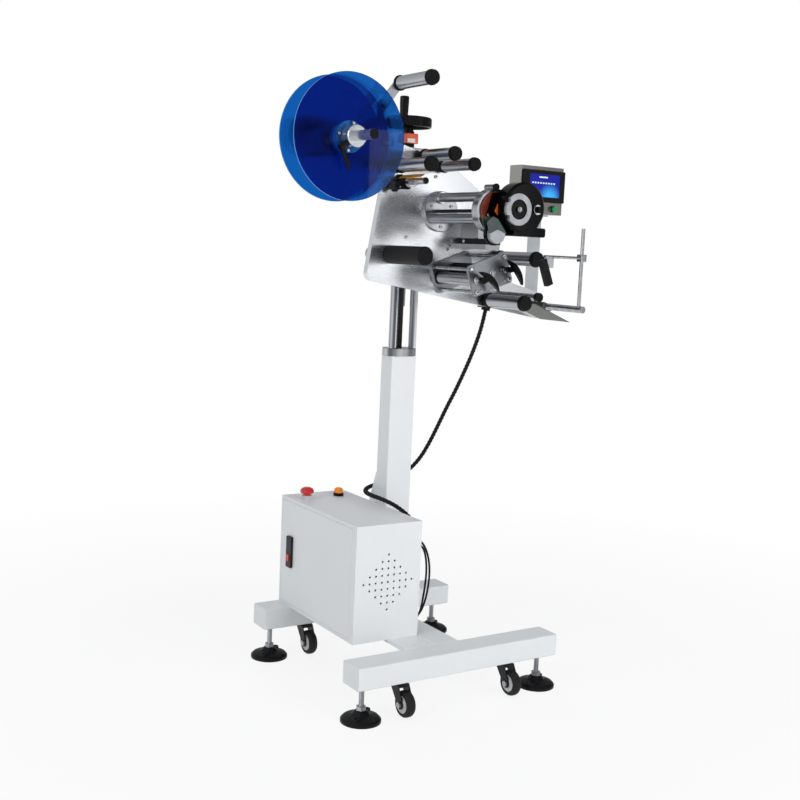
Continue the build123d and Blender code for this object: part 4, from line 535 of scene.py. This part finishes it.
# Carriage and main plate: machined aluminium. The plate is brushed along its length, a little out of
# level, and carries everything on the head.
BRUSH_TILT = radians(-9.5)
FINE_SHARE = 0.4
BROAD_TONE_AND_SHEEN_SHARE = 0.5
BRUSH_ROUGHNESS = 0.2
BRUSH_SPREAD = 0.12
brushed = Finish("brushed_plate", tone(230, 232, 235), 0.3, 1.0)
fine = brushed.mottle(70, stretch=(1, 30, 30), tilt=(0, BRUSH_TILT, 0), detail=6.0)
# Broad patches of lighter and darker tone: random tone, and partly a painted highlight for the soft sheen
# across the plate
broad = brushed.mottle(2.2, stretch=(1.0, 1.0, 1.6))
brushed.shift_colour(fine * FINE_SHARE + broad * BROAD_TONE_AND_SHEEN_SHARE, tone(198, 201, 206))
brushed.feed("Roughness", fine * BRUSH_SPREAD + BRUSH_ROUGHNESS)
milled = Finish("milled_aluminium", tone(190, 193, 197), 0.34, 1.0)
milled.shift_colour(milled.mottle(40, stretch=(1, 1, 12)), tone(160, 163, 168))
wear("main_plate", brushed)
wear("carriage", milled)

# Plate screws: socket-head steel screws that hold the bearings and blocks behind the main plate.
# A screw is given by the radius and height of its head.
PLATE_FACE = 25
PLATE_SCREW = (4.6, 4.0)
PLATE_SCREWS = [(-22.5, 1463.7), (61.6, 1406.5), (-27.1, 1235.6), (118.1, 1218.1), (112.8, 1208.3)]
SCREW_SIDES = 24
RIM_INSET = 0.45
RIM_ROUND = 0.14
SOCKET_SHARE = 0.5
SHARP_ANGLE = radians(35)
FACINGS = {"-Y": Matrix.Rotation(radians(90), 4, "X"), "-X": Matrix.Rotation(radians(-90), 4, "Y")}


def new_piece(name, shape, body, finish):
    """A new piece, made in place, that rides on a body."""
    bmesh.ops.remove_doubles(shape, verts=shape.verts, dist=1e-6)
    bmesh.ops.recalc_face_normals(shape, faces=shape.faces)
    for face in shape.faces:
        face.smooth = True
    for edge in shape.edges:
        edge.smooth = edge.calc_face_angle(0) < SHARP_ANGLE
    made = bpy.data.objects.new(name, bpy.data.meshes.new(name))
    shape.to_mesh(made.data)
    shape.free()
    made.data.materials.append(finish.material)
    scene.collection.objects.link(made)
    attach(made, body)


def set_in(shape, known, place, facing):
    """Moves what was added since the known points, made in millimetres facing up, to its place."""
    fresh = [vert for vert in shape.verts if vert not in known]
    spot = Matrix.Translation(Vector(place) / 1000) @ FACINGS[facing] @ Matrix.Scale(0.001, 4)
    bmesh.ops.transform(shape, matrix=spot, verts=fresh)


def lift_face(shape, face, height):
    made = bmesh.ops.extrude_face_region(shape, geom=[face])["geom"]
    top = [item for item in made if isinstance(item, bmesh.types.BMFace)][0]
    bmesh.ops.translate(shape, verts=top.verts, vec=(0, 0, height))
    return top


def cap_screw(shape, place, size, facing="-Y"):
    """A screw head with a rounded rim, and a hexagonal socket that its top face still covers."""
    radius, height = size
    known = set(shape.verts)
    circle = bmesh.ops.create_circle(shape, cap_ends=True, segments=SCREW_SIDES, radius=radius)["verts"]
    top = lift_face(shape, circle[0].link_faces[0], height)
    rim = list(top.edges)
    bmesh.ops.inset_individual(shape, faces=[top], thickness=radius * RIM_INSET)
    for vert in top.verts:
        angle = atan2(vert.co.y, vert.co.x)
        reach = radius * SOCKET_SHARE * cos(pi / 6) / cos(angle % (pi / 3) - pi / 6)
        vert.co.x = reach * cos(angle)
        vert.co.y = reach * sin(angle)
    lift_face(shape, top, -height * SOCKET_SHARE)
    bmesh.ops.bevel(shape, geom=rim, offset=radius * RIM_ROUND, offset_type="OFFSET", segments=2,
                    profile=0.5, affect="EDGES", material=-1)
    set_in(shape, known, place, facing)


screw_steel = Finish("screw_steel", tone(214, 216, 219), 0.22, 1.0)
screw_steel.shift_colour(screw_steel.mottle(80), tone(186, 188, 192))
shape = bmesh.new()
for x, z in PLATE_SCREWS:
    cap_screw(shape, (x, PLATE_FACE, z), PLATE_SCREW)
new_piece("plate_screws", shape, "head", screw_steel)

# Position indicator and handwheel: an orange counter with a white window on a black adapter, and a
# black bakelite wheel, both on the top of the screw.
ADAPTER_TOP = 1493.9
WINDOW_X = (-17.1, 9.1)
WINDOW_Y = (55.5, 56.1)
WINDOW_Z = (1495.9, 1507.1)
counter_orange = Finish("counter_orange", tone(232, 92, 30), 0.3, Coat_Weight=0.3)
counter_orange.vary(70, tone(216, 78, 22), 0.05)
window_white = Finish("window_white", tone(232, 232, 228), 0.2)
window_white.vary(120, tone(220, 220, 214))
bakelite = Finish("bakelite", tone(10, 10, 11), 0.28, Specular_IOR_Level=0.18)
bakelite.grain(bakelite.mottle(500), 0.08, 0.0004)
wear("position_indicator", counter_orange,
     (moulded_black, lambda p: p.z < ADAPTER_TOP),
     (window_white, lambda p: inside(p.x, WINDOW_X) and inside(p.y, WINDOW_Y) and inside(p.z, WINDOW_Z)))
wear("handwheel", bakelite)

# Rollers: satin turned tubes with black rubber rings and a black cap, on steel axles. Each has the x
# and z of its axle, its front end and its radius. The dancer's arm has a rubber bumper.
ROLLERS = {
    "roller_upper_left": (-62, 1427, -145, 18), "roller_upper_middle": (14, 1459, -142, 17),
    "roller_upper_right": (78, 1436, -143, 16), "roller_lower_front": (261, 1068, -160, 19.5),
    "roller_lower_back": (290, 1191, -165, 19.5), "dancer_roller": (-80, 1643, -157, 18),
}
RING_PROUD = 0.2
ROLLER_CAP = 9.1
BACK_RING = 8.3
BUMPER = (-129.2, 1578.6)
BUMPER_REACH = 7
ARM_FRONT = 8.9


def about_y(p, axis):
    """How far a point is from an axis along Y, given by its x and z."""
    return hypot(p.x - axis[0], p.z - axis[1])


turned = Finish("turned_aluminium", tone(188, 190, 194), 0.26, 1.0)
turned.shift_colour(turned.mottle(50, stretch=(1, 0.05, 1)), tone(156, 158, 163))
ring_rubber = Finish("ring_rubber", tone(14, 14, 15), 0.5, Specular_IOR_Level=0.12)
ring_rubber.vary(110, tone(24, 24, 25), 0.15)
for node, (x, z, end, radius) in ROLLERS.items():
    def on_ring(p, axle=(x, z), cap=end + ROLLER_CAP, ring=radius + RING_PROUD):
        return about_y(p, axle) > ring or p.y < cap or p.y > BACK_RING

    wear(node, turned, (ring_rubber, on_ring))
arm_grey = Finish("anodised_arm", tone(200, 203, 206), 0.4, 0.85)
arm_grey.vary(30, tone(180, 184, 188))
wear("dancer_arm", arm_grey, (ring_rubber, lambda p: p.y < ARM_FRONT and about_y(p, BUMPER) < BUMPER_REACH))

# Guide bars: plain steel bars and the reel's bearing, pressed into the main plate, with a yellow
# brake leaf on a black spacer, a black clamp block and black caps. A star knob locks the block.
LEAF = (-62, 1397.5)
LEAF_REACH = 9.5
LEAF_BACK = 11
SPACER_BACK = 24.9
GUIDE_PIN = (309, 1086)
PIN_CAP_REACH = 14
PIN_CAP_BACK = -143.5
BRAKE_BAR = (-55, 1384)
BRAKE_CAP_REACH = 9.2
BRAKE_CAP_BACK = -102.9
CLAMP_X = (-65.1, -44.9)
CLAMP_Y = (-12.1, 8.1)
CLAMP_Z = (1363.9, 1395.1)
KNOB_STEM = -81.2
leaf_yellow = Finish("brake_leaf", tone(206, 150, 34), 0.42)
leaf_yellow.vary(60, tone(176, 116, 22))
bright_bar = Finish("bright_bar", tone(196, 198, 201), 0.22, 1.0)
# Painted reflection: darker streaks laid into the bright bars' colour
bright_bar.shift_colour(bright_bar.streaks(60, (1, 1, 0.4), 1.8), tone(146, 148, 152))
wear("guide_bars", bright_bar,
     (leaf_yellow, lambda p: about_y(p, LEAF) < LEAF_REACH and p.y < LEAF_BACK),
     (moulded_black, lambda p: about_y(p, LEAF) < LEAF_REACH and LEAF_BACK <= p.y < SPACER_BACK),
     (moulded_black, lambda p: about_y(p, GUIDE_PIN) < PIN_CAP_REACH and p.y < PIN_CAP_BACK),
     (moulded_black, lambda p: inside(p.x, CLAMP_X) and inside(p.y, CLAMP_Y) and inside(p.z, CLAMP_Z)),
     (moulded_black, lambda p: about_y(p, BRAKE_BAR) < BRAKE_CAP_REACH and p.y < BRAKE_CAP_BACK))
wear("star_knob", moulded_black, (bright_bar, lambda p: p.x > KNOB_STEM))

# Unwind reel: two clear blue acrylic discs on an aluminium shaft with a stepped hub. The front disc
# sits between its collar and flange, and a moulded clamp lever holds it on the shaft.
REEL = (-335, 1468)
SHAFT_REACH = 12.7
SHAFT_TIP = -296.05
SHAFT_KEEPER = 45.2
HUB_BACK = 14
DISC_EDGE = 154.2
DISC_FRONT = -184.05
DISC_BACK = -179.95
FLANGE_FACE = -180
FACE_CLOSE = 0.05
TOWARDS_FRONT = -0.5
# The place of hub_satin among the front disc's finishes
HUB_INDEX = 3
CLEAR_SHARE = 0.5
SHADE_TINT = (0.9, 0.95, 0.99, 1)
acrylic = Finish("blue_acrylic", tone(18, 92, 176), 0.02, 0.0, Transmission_Weight=1.0, IOR=1.3)
clear_tint = (*[part ** 0.5 for part in acrylic.colour], 1)
acrylic.blend_shader(CLEAR_SHARE, acrylic.node("ShaderNodeBsdfTransparent", {}, {"Color": clear_tint}))
pale_shade = acrylic.node("ShaderNodeBsdfTransparent", {}, {"Color": SHADE_TINT})
acrylic.blend_shader(acrylic.rays("Shadow"), pale_shade)
acrylic_edge = Finish("blue_acrylic_edge", tone(60, 150, 235), 0.25)
acrylic_edge.vary(40, tone(40, 126, 214))
hub_satin = Finish("hub_satin", tone(244, 246, 248), 0.3, 0.1)
hub_satin.shift_colour(hub_satin.mottle(40), tone(222, 226, 231))
shaft_bright = Finish("shaft_bright", tone(222, 224, 227), 0.24, 0.9)
shaft_bright.shift_colour(shaft_bright.mottle(26, stretch=(1, 0.2, 1)), tone(198, 201, 206))
wear("reel_shaft", shaft_bright,
     (moulded_black, lambda p: p.y > SHAFT_KEEPER or p.y < SHAFT_TIP),
     (hub_satin, lambda p: p.y < HUB_BACK and about_y(p, REEL) > SHAFT_REACH))
wear("reel_disc_rear", acrylic, (acrylic_edge, lambda p: about_y(p, REEL) > DISC_EDGE))
wear("reel_disc_front", acrylic,
     (acrylic_edge, lambda p: about_y(p, REEL) > DISC_EDGE),
     (shaft_bright, lambda p: p.y < DISC_FRONT),
     (hub_satin, lambda p: p.y > DISC_BACK))
for face in nodes["reel_disc_front"].data.polygons:
    if abs(face.center.y * 1000 - FLANGE_FACE) < FACE_CLOSE and face.normal.y < TOWARDS_FRONT:
        face.material_index = HUB_INDEX
wear("reel_clamp_lever", moulded_black)

# Reel screws: four steel screws that clamp the front disc to the flange behind it, evenly spaced
# round the collar.
REEL_FACE = -184
REEL_SCREW = (3.8, 3.0)
REEL_SCREW_COUNT = 4
SCREW_RING = 34
FIRST_SCREW = radians(80)
shape = bmesh.new()
for step in range(REEL_SCREW_COUNT):
    angle = FIRST_SCREW + 2 * pi * step / REEL_SCREW_COUNT
    place = (REEL[0] + SCREW_RING * cos(angle), REEL_FACE, REEL[1] + SCREW_RING * sin(angle))
    cap_screw(shape, place, REEL_SCREW)
new_piece("reel_screws", shape, "reel_front", screw_steel)

# Coder: aluminium mount and rods on the main plate, a glossy black ribbon housing, a red-brown spool
# and its orange core, a grey guide drum, and a grey ribbon ring on a black hub.
CODER = (80, 1312)
CORE_REACH = 20.3
CORE_FRONT = -243.9
SPOOL_FACE = -238.05
DRUM = (66, 1251)
DRUM_REACH = 24.2
DRUM_BACK = -254.1
RIBBON = (110, 1317)
RIBBON_HUB_REACH = 26.2
RIBBON_NUT_REACH = 7.2
RIBBON_NUT_BACK = -295
gloss_black = Finish("gloss_black", tone(7, 7, 8), 0.16, Specular_IOR_Level=0.09)
gloss_black.grain(gloss_black.mottle(60), 0.03, 0.001)
spool_red = Finish("spool_red", tone(84, 26, 18), 0.24)
spool_red.shift_colour(spool_red.mottle(30), tone(112, 42, 26))
core_orange = Finish("core_orange", tone(226, 108, 28), 0.35)
core_orange.vary(60, tone(206, 90, 20))
ring_grey = Finish("ring_grey", tone(176, 179, 183), 0.36, 0.7)
ring_grey.vary(60, tone(158, 161, 166))
drum_grey = Finish("drum_grey", tone(176, 179, 183), 0.4, 0.4)
drum_grey.vary(60, tone(152, 155, 160))
wear("coder_mount", turned)
wear("coder_body", gloss_black,
     (spool_red, lambda p: p.y > SPOOL_FACE),
     (core_orange, lambda p: CORE_FRONT < p.y <= SPOOL_FACE and about_y(p, CODER) < CORE_REACH),
     (drum_grey, lambda p: p.y < DRUM_BACK and about_y(p, DRUM) < DRUM_REACH))
wear("ribbon_reel", ring_grey,
     (gloss_black, lambda p: about_y(p, RIBBON) < RIBBON_HUB_REACH),
     (polished, lambda p: about_y(p, RIBBON) < RIBBON_NUT_REACH and p.y < RIBBON_NUT_BACK))

# Coder mount hardware: three screws and a collar at the mount's foot, a dark tie rod from there to
# the spool, and a grey guide post with a black rubber end.
FOOT_FACE = 15
FOOT_SCREW = (4.4, 3.5)
FOOT_SCREWS = [(45.1, 1326.4), (78.7, 1269.8), (111.6, 1327.3)]
TOP_ROD = (76.7, FOOT_FACE, 1349.9)
TIE_ROD = (69, FOOT_FACE, 1312)
TIE_LENGTH = 221
POST = (73.4, -196, 1373)
POST_CAP = [(0, 40), (8.6, 40), (9.2, 41), (9.2, 47), (8.2, 48), (0, 48)]
COLLAR_EDGE = 1.2
COLLAR_EDGE_SHARE = 0.2
LATHE_STEPS = 40


def lathe(shape, profile, place, closed=True):
    """A ring or a knob, facing the operator, spun from its half section of radius and height."""
    known = set(shape.verts)
    verts = [shape.verts.new((radius, 0, height)) for radius, height in profile]
    pairs = list(zip(verts, verts[1:] + verts[:1]))
    edges = [shape.edges.new(pair) for pair in (pairs if closed else pairs[:-1])]
    bmesh.ops.spin(shape, geom=verts + edges, cent=(0, 0, 0), axis=(0, 0, 1), angle=2 * pi,
                   steps=LATHE_STEPS, use_merge=True)
    set_in(shape, known, place, "-Y")


def collar(shape, place, bore, radius, length):
    """A ring with a small chamfer at both ends."""
    edge = min(COLLAR_EDGE, length * COLLAR_EDGE_SHARE)
    lathe(shape, [(bore, 0), (radius - edge, 0), (radius, edge), (radius, length - edge),
                  (radius - edge, length), (bore, length)], place)


shape = bmesh.new()
for x, z in FOOT_SCREWS:
    cap_screw(shape, (x, FOOT_FACE, z), FOOT_SCREW)
collar(shape, TOP_ROD, bore=13.0, radius=17.0, length=8.0)
new_piece("coder_foot_screws", shape, "head", screw_steel)
shape = bmesh.new()
collar(shape, TIE_ROD, bore=2.0, radius=5.0, length=TIE_LENGTH)
new_piece("coder_tie_rod", shape, "head", dark_steel)
shape = bmesh.new()
collar(shape, POST, bore=2.0, radius=7.5, length=40.0)
new_piece("coder_post", shape, "head", turned)
shape = bmesh.new()
lathe(shape, POST_CAP, POST, closed=False)
new_piece("coder_post_cap", shape, "head", ring_rubber)

# Ribbon housing trim: a moulded rim with a strut across the spool, two dark steel guards over the
# spool and the drum, the orange wedge of the core, and a chromed washer round the knob.
HOUSING = (138, -240, 1322)
HOUSING_RIM = [(58, 0), (65.5, 0), (66.8, 1.5), (66.8, 15), (58, 15)]
STRUT = [(63.5, 1358.4), (83, 1359.6), (74, 1324.4), (59.3, 1301.7), (46.4, 1298), (50.5, 1312.8)]
STRUT_Y = (-238.2, -243)
STRUT_SCREW_PLACE = (49.5, STRUT_Y[1], 1301)
STRUT_SCREW = (3.6, 3.0)
GUARD = [(32.4, 1293.8), (62.6, 1297), (87.3, 1273.6), (52.7, 1256.4), (38.7, 1271.1)]
GUARD_Y = (-238.2, -242)
DRUM_ARM = [(28.4, 1280.9), (46.7, 1295.9), (63.1, 1290.4), (93.4, 1253.4), (63.8, 1263.4), (36.8, 1250.7)]
DRUM_ARM_Y = (-268, -270)
WEDGE = [(61, 1310.3), (71.2, 1331), (73, 1299.7)]
WEDGE_Y = (-254, -255.2)
KNOB_WASHER = (178, -286, 1320)
BAR_CORNER = 0.0025


def flat_bar(shape, outline, span):
    """A flat bar cut to an outline of x and z, from one y to another, with rounded corners."""
    corners = [shape.verts.new((x / 1000, span[0] / 1000, z / 1000)) for x, z in outline]
    made = bmesh.ops.extrude_face_region(shape, geom=[shape.faces.new(corners)])["geom"]
    far = [item for item in made if isinstance(item, bmesh.types.BMVert)]
    bmesh.ops.translate(shape, verts=far, vec=(0, (span[1] - span[0]) / 1000, 0))
    upright = [edge for corner in corners for edge in corner.link_edges if edge.other_vert(corner) in far]
    bmesh.ops.bevel(shape, geom=upright, offset=BAR_CORNER, offset_type="OFFSET", segments=4,
                    profile=0.5, affect="EDGES", material=-1)


shape = bmesh.new()
lathe(shape, HOUSING_RIM, HOUSING)
flat_bar(shape, STRUT, STRUT_Y)
new_piece("coder_housing_rim", shape, "head", gloss_black)
smoked_steel = Finish("smoked_steel", tone(74, 86, 84), 0.36, 0.35)
smoked_steel.vary(40, tone(58, 68, 67), stretch=(1, 1, 6))
shape = bmesh.new()
flat_bar(shape, GUARD, GUARD_Y)
flat_bar(shape, DRUM_ARM, DRUM_ARM_Y)
new_piece("coder_guards", shape, "head", smoked_steel)
shape = bmesh.new()
flat_bar(shape, WEDGE, WEDGE_Y)
new_piece("coder_core_wedge", shape, "head", core_orange)
shape = bmesh.new()
collar(shape, KNOB_WASHER, bore=9.1, radius=13.0, length=2.4)
cap_screw(shape, STRUT_SCREW_PLACE, STRUT_SCREW)
new_piece("coder_knob_washer", shape, "head", screw_steel)

# Print motor and platen: a grey square motor with milled ends on a black bar, over a pale platen
# plate. One screw holds the bar at its left end.
MOTOR_BASE = 1241.05
MOTOR_BODY_Y = (-55, 13)
BAR_Z = (1226.05, 1240.99)
PLATEN_TOP = 1226.04
PLATEN_SCREW_PLACE = (150, -4, 1233.5)
PLATEN_SCREW = (5.0, 4.0)
motor_grey = Finish("motor_grey", tone(172, 174, 177), 0.42, 0.7)
motor_grey.grain(motor_grey.mottle(300, stretch=(1, 12, 1)), 0.2, 0.0006)
platen_grey = Finish("platen_grey", tone(190, 192, 195), 0.4, 0.6)
platen_grey.vary(40, tone(170, 172, 176))
wear("coder_platen", motor_grey,
     (milled, lambda p: p.z > MOTOR_BASE and (p.y < MOTOR_BODY_Y[0] or p.y > MOTOR_BODY_Y[1])),
     (moulded_black, lambda p: inside(p.z, BAR_Z)),
     (platen_grey, lambda p: p.z < PLATEN_TOP))
shape = bmesh.new()
cap_screw(shape, PLATEN_SCREW_PLACE, PLATEN_SCREW, "-X")
new_piece("platen_screw", shape, "head", screw_steel)

# Drive unit: two aluminium side plates on tie rods, a rubber drive roller, a turned nip roller and
# two glossy levers on chromed studs.
NIP = (87.015, 1128.899)
NIP_SHAFT_REACH = 6.2
NIP_BACK = 9.9
DRIVE = (141.518, 1148.736)
DRIVE_SHAFT_REACH = 6.1
TIE_SPAN = (-145.9, 16.9)
LEVER_BACK = -179.8
drive_plate = Finish("drive_plate", tone(150, 154, 158), 0.3, 0.9)
drive_plate.shift_colour(drive_plate.mottle(30, stretch=(1, 1, 10)), tone(122, 127, 133))
wear("drive_frame", drive_plate, (bright_bar, lambda p: inside(p.y, TIE_SPAN)))
wear("drive_roller", ring_rubber, (bright_bar, lambda p: about_y(p, DRIVE) < DRIVE_SHAFT_REACH))
wear("nip_roller", turned, (ring_rubber, lambda p: p.y > NIP_BACK and about_y(p, NIP) > NIP_SHAFT_REACH))
for node in ("nip_lever_lower", "nip_lever_upper"):
    wear(node, gloss_black, (chrome_rod, lambda p: p.y > LEVER_BACK))

# Drive hardware: screws on the tie rods and the near plate, a washer round the drive shaft, and two
# chromed nuts on the stud of each lever, which turn with it.
DRIVE_FACE = -154
TIE_SCREW = (6.0, 5.0)
TIE_SCREWS = [(69.5, 1156.6), (91.4, 1096.4), (198.5, 1135.4), (176.6, 1195.6)]
SMALL_SCREW = (3.4, 2.4)
SMALL_SCREWS = [(82, 1161.5), (105.7, 1101), (184, 1131), (160, 1189)]
UPPER_STUD = (173.467, 1160.365)
INNER_NUT = DRIVE_FACE - 1
OUTER_NUT = DRIVE_FACE - 12
LEVER_STUDS = [
    ("nip_lever_lower", "lower_lever", NIP, 6.0),
    ("nip_lever_upper", "upper_lever", UPPER_STUD, 5.0),
]
shape = bmesh.new()
for x, z in TIE_SCREWS:
    cap_screw(shape, (x, DRIVE_FACE, z), TIE_SCREW)
for x, z in SMALL_SCREWS:
    cap_screw(shape, (x, DRIVE_FACE, z), SMALL_SCREW)
collar(shape, (DRIVE[0], DRIVE_FACE, DRIVE[1]), bore=6.6, radius=10.0, length=3.0)
new_piece("drive_screws", shape, "head", screw_steel)
for node, body, (x, z), bore in LEVER_STUDS:
    shape = bmesh.new()
    collar(shape, (x, INNER_NUT, z), bore, radius=9.0, length=6.0)
    collar(shape, (x, OUTER_NUT, z), bore, radius=8.0, length=6.0)
    new_piece(node + "_nuts", shape, body, chrome_rod)

# Motors and mandrel: a square motor with milled ends and a gear motor behind the main plate, the
# black cable outlet with its bright clamp, and a matt black drum that winds up the liner.
SQUARE_MOTOR_X = (112, 171)
SQUARE_MOTOR_Y = (57.1, 108.9)
OUTLET_X = (269, 305)
OUTLET_TOP = 1045
MANDREL_BACK = 23.05
wear("drive_motors", motor_grey,
     (milled, lambda p: inside(p.x, SQUARE_MOTOR_X) and (p.y < SQUARE_MOTOR_Y[0] or p.y > SQUARE_MOTOR_Y[1])),
     (bright_bar, lambda p: inside(p.x, OUTLET_X) and p.z > OUTLET_TOP),
     (moulded_black, lambda p: inside(p.x, OUTLET_X)))
mandrel_black = Finish("mandrel_black", tone(15, 15, 17), 0.46, Specular_IOR_Level=0.14)
mandrel_black.grain(mandrel_black.mottle(500), 0.2, 0.0004)
wear("rewind_mandrel", mandrel_black, (bright_bar, lambda p: p.y > MANDREL_BACK))

# Dispensing end: a thin dark steel blade under its bar, the stand of bright rods, and the label
# sensor, which a clamp with a pale plate holds on the post.
SENSOR_BAR = (-262, 1200)
SENSOR_BAR_REACH = 4.2
SENSOR_PLATE_Y = (-259.1, -255.8)
SENSOR_PLATE_LEFT = 233
CLAMP_LEFT = 267
stainless = Finish("stainless_sheet", tone(168, 168, 164), 0.24, 1.0)
stainless.shift_colour(stainless.mottle(60, stretch=(1, 20, 1)), tone(142, 141, 136))
blade_steel = Finish("blade_steel", tone(104, 112, 106), 0.42, 0.2, Specular_IOR_Level=0.12)
blade_steel.shift_colour(blade_steel.mottle(45, stretch=(1, 14, 1)), tone(86, 95, 89))
wear("peel_blade", blade_steel)
wear("sensor_stand", bright_bar)
wear("sensor_head", moulded_black,
     (platen_grey, lambda p: inside(p.y, SENSOR_PLATE_Y) and p.x > SENSOR_PLATE_LEFT),
     (bright_bar, lambda p: p.x > CLAMP_LEFT or about_x(p, SENSOR_BAR) < SENSOR_BAR_REACH))

# Operator panel: a stainless box on an aluminium strip, a black bezel with a plain blue picture of a
# glow and a row of marks, and the green start button in its chromed collar.
GLOW_PLACE = (0.456, 1.372)
GLOW_REACH = 0.048
SCREEN_GLOW = 0.5
TOP_MARK = (0.414, 0.446, 1.4290, 1.4330)
MARK_START = 0.3880
MARK_PITCH = 0.0100
MARK_WIDTH = 0.0055
MARK_ROW = (1.4120, 1.4165)
MARK_COUNT = 9
BOX_FRONT = 9.95
BEZEL_Z = (1358.9, 1451.1)
SCREEN_X = (378, 493.2)
SCREEN_Y = (4.9, 5.1)
SCREEN_Z = (1373, 1441)
COLLAR_TOP = 1352
STRIP_TOP = 1323.9
screen_blue = Finish("screen_picture", tone(24, 40, 150), 0.12)
place = screen_blue.node("ShaderNodeTexCoord", {}, {}, "Object")
along, height = [screen_blue.node("ShaderNodeSeparateXYZ", {}, {"Vector": place}, axis) for axis in "XZ"]
glow_x = (along - GLOW_PLACE[0]) * (1 / GLOW_REACH)
glow_z = (height - GLOW_PLACE[1]) * (1 / GLOW_REACH)
glow = (1 - glow_x * glow_x - glow_z * glow_z).clamp()
lefts = [MARK_START + MARK_PITCH * step for step in range(MARK_COUNT)]
marks = 0.0
for left, right, bottom, top in [TOP_MARK] + [(left, left + MARK_WIDTH, *MARK_ROW) for left in lefts]:
    marks = marks + (along > left) * (along < right) * (height > bottom) * (height < top)
lit = screen_blue.two_colours(glow * glow, tone(16, 26, 132), tone(60, 160, 226))
lit = screen_blue.two_colours(marks, lit, tone(196, 208, 232))
screen_blue.feed("Base Color", lit)
screen_blue.feed("Emission Color", lit)
screen_blue.shader.inputs["Emission Strength"].default_value = SCREEN_GLOW
start_green = Finish("start_green", tone(28, 150, 84), 0.26, Coat_Weight=0.4)
start_green.vary(80, tone(22, 136, 74))
wear("operator_panel", stainless,
     (moulded_black, lambda p: p.y < BOX_FRONT and inside(p.z, BEZEL_Z)),
     (screen_blue, lambda p: inside(p.x, SCREEN_X) and inside(p.y, SCREEN_Y) and inside(p.z, SCREEN_Z)),
     (chrome_rod, lambda p: p.y < BOX_FRONT and p.z < COLLAR_TOP),
     (arm_grey, lambda p: p.z < STRIP_TOP))
wear("start_button", start_green)
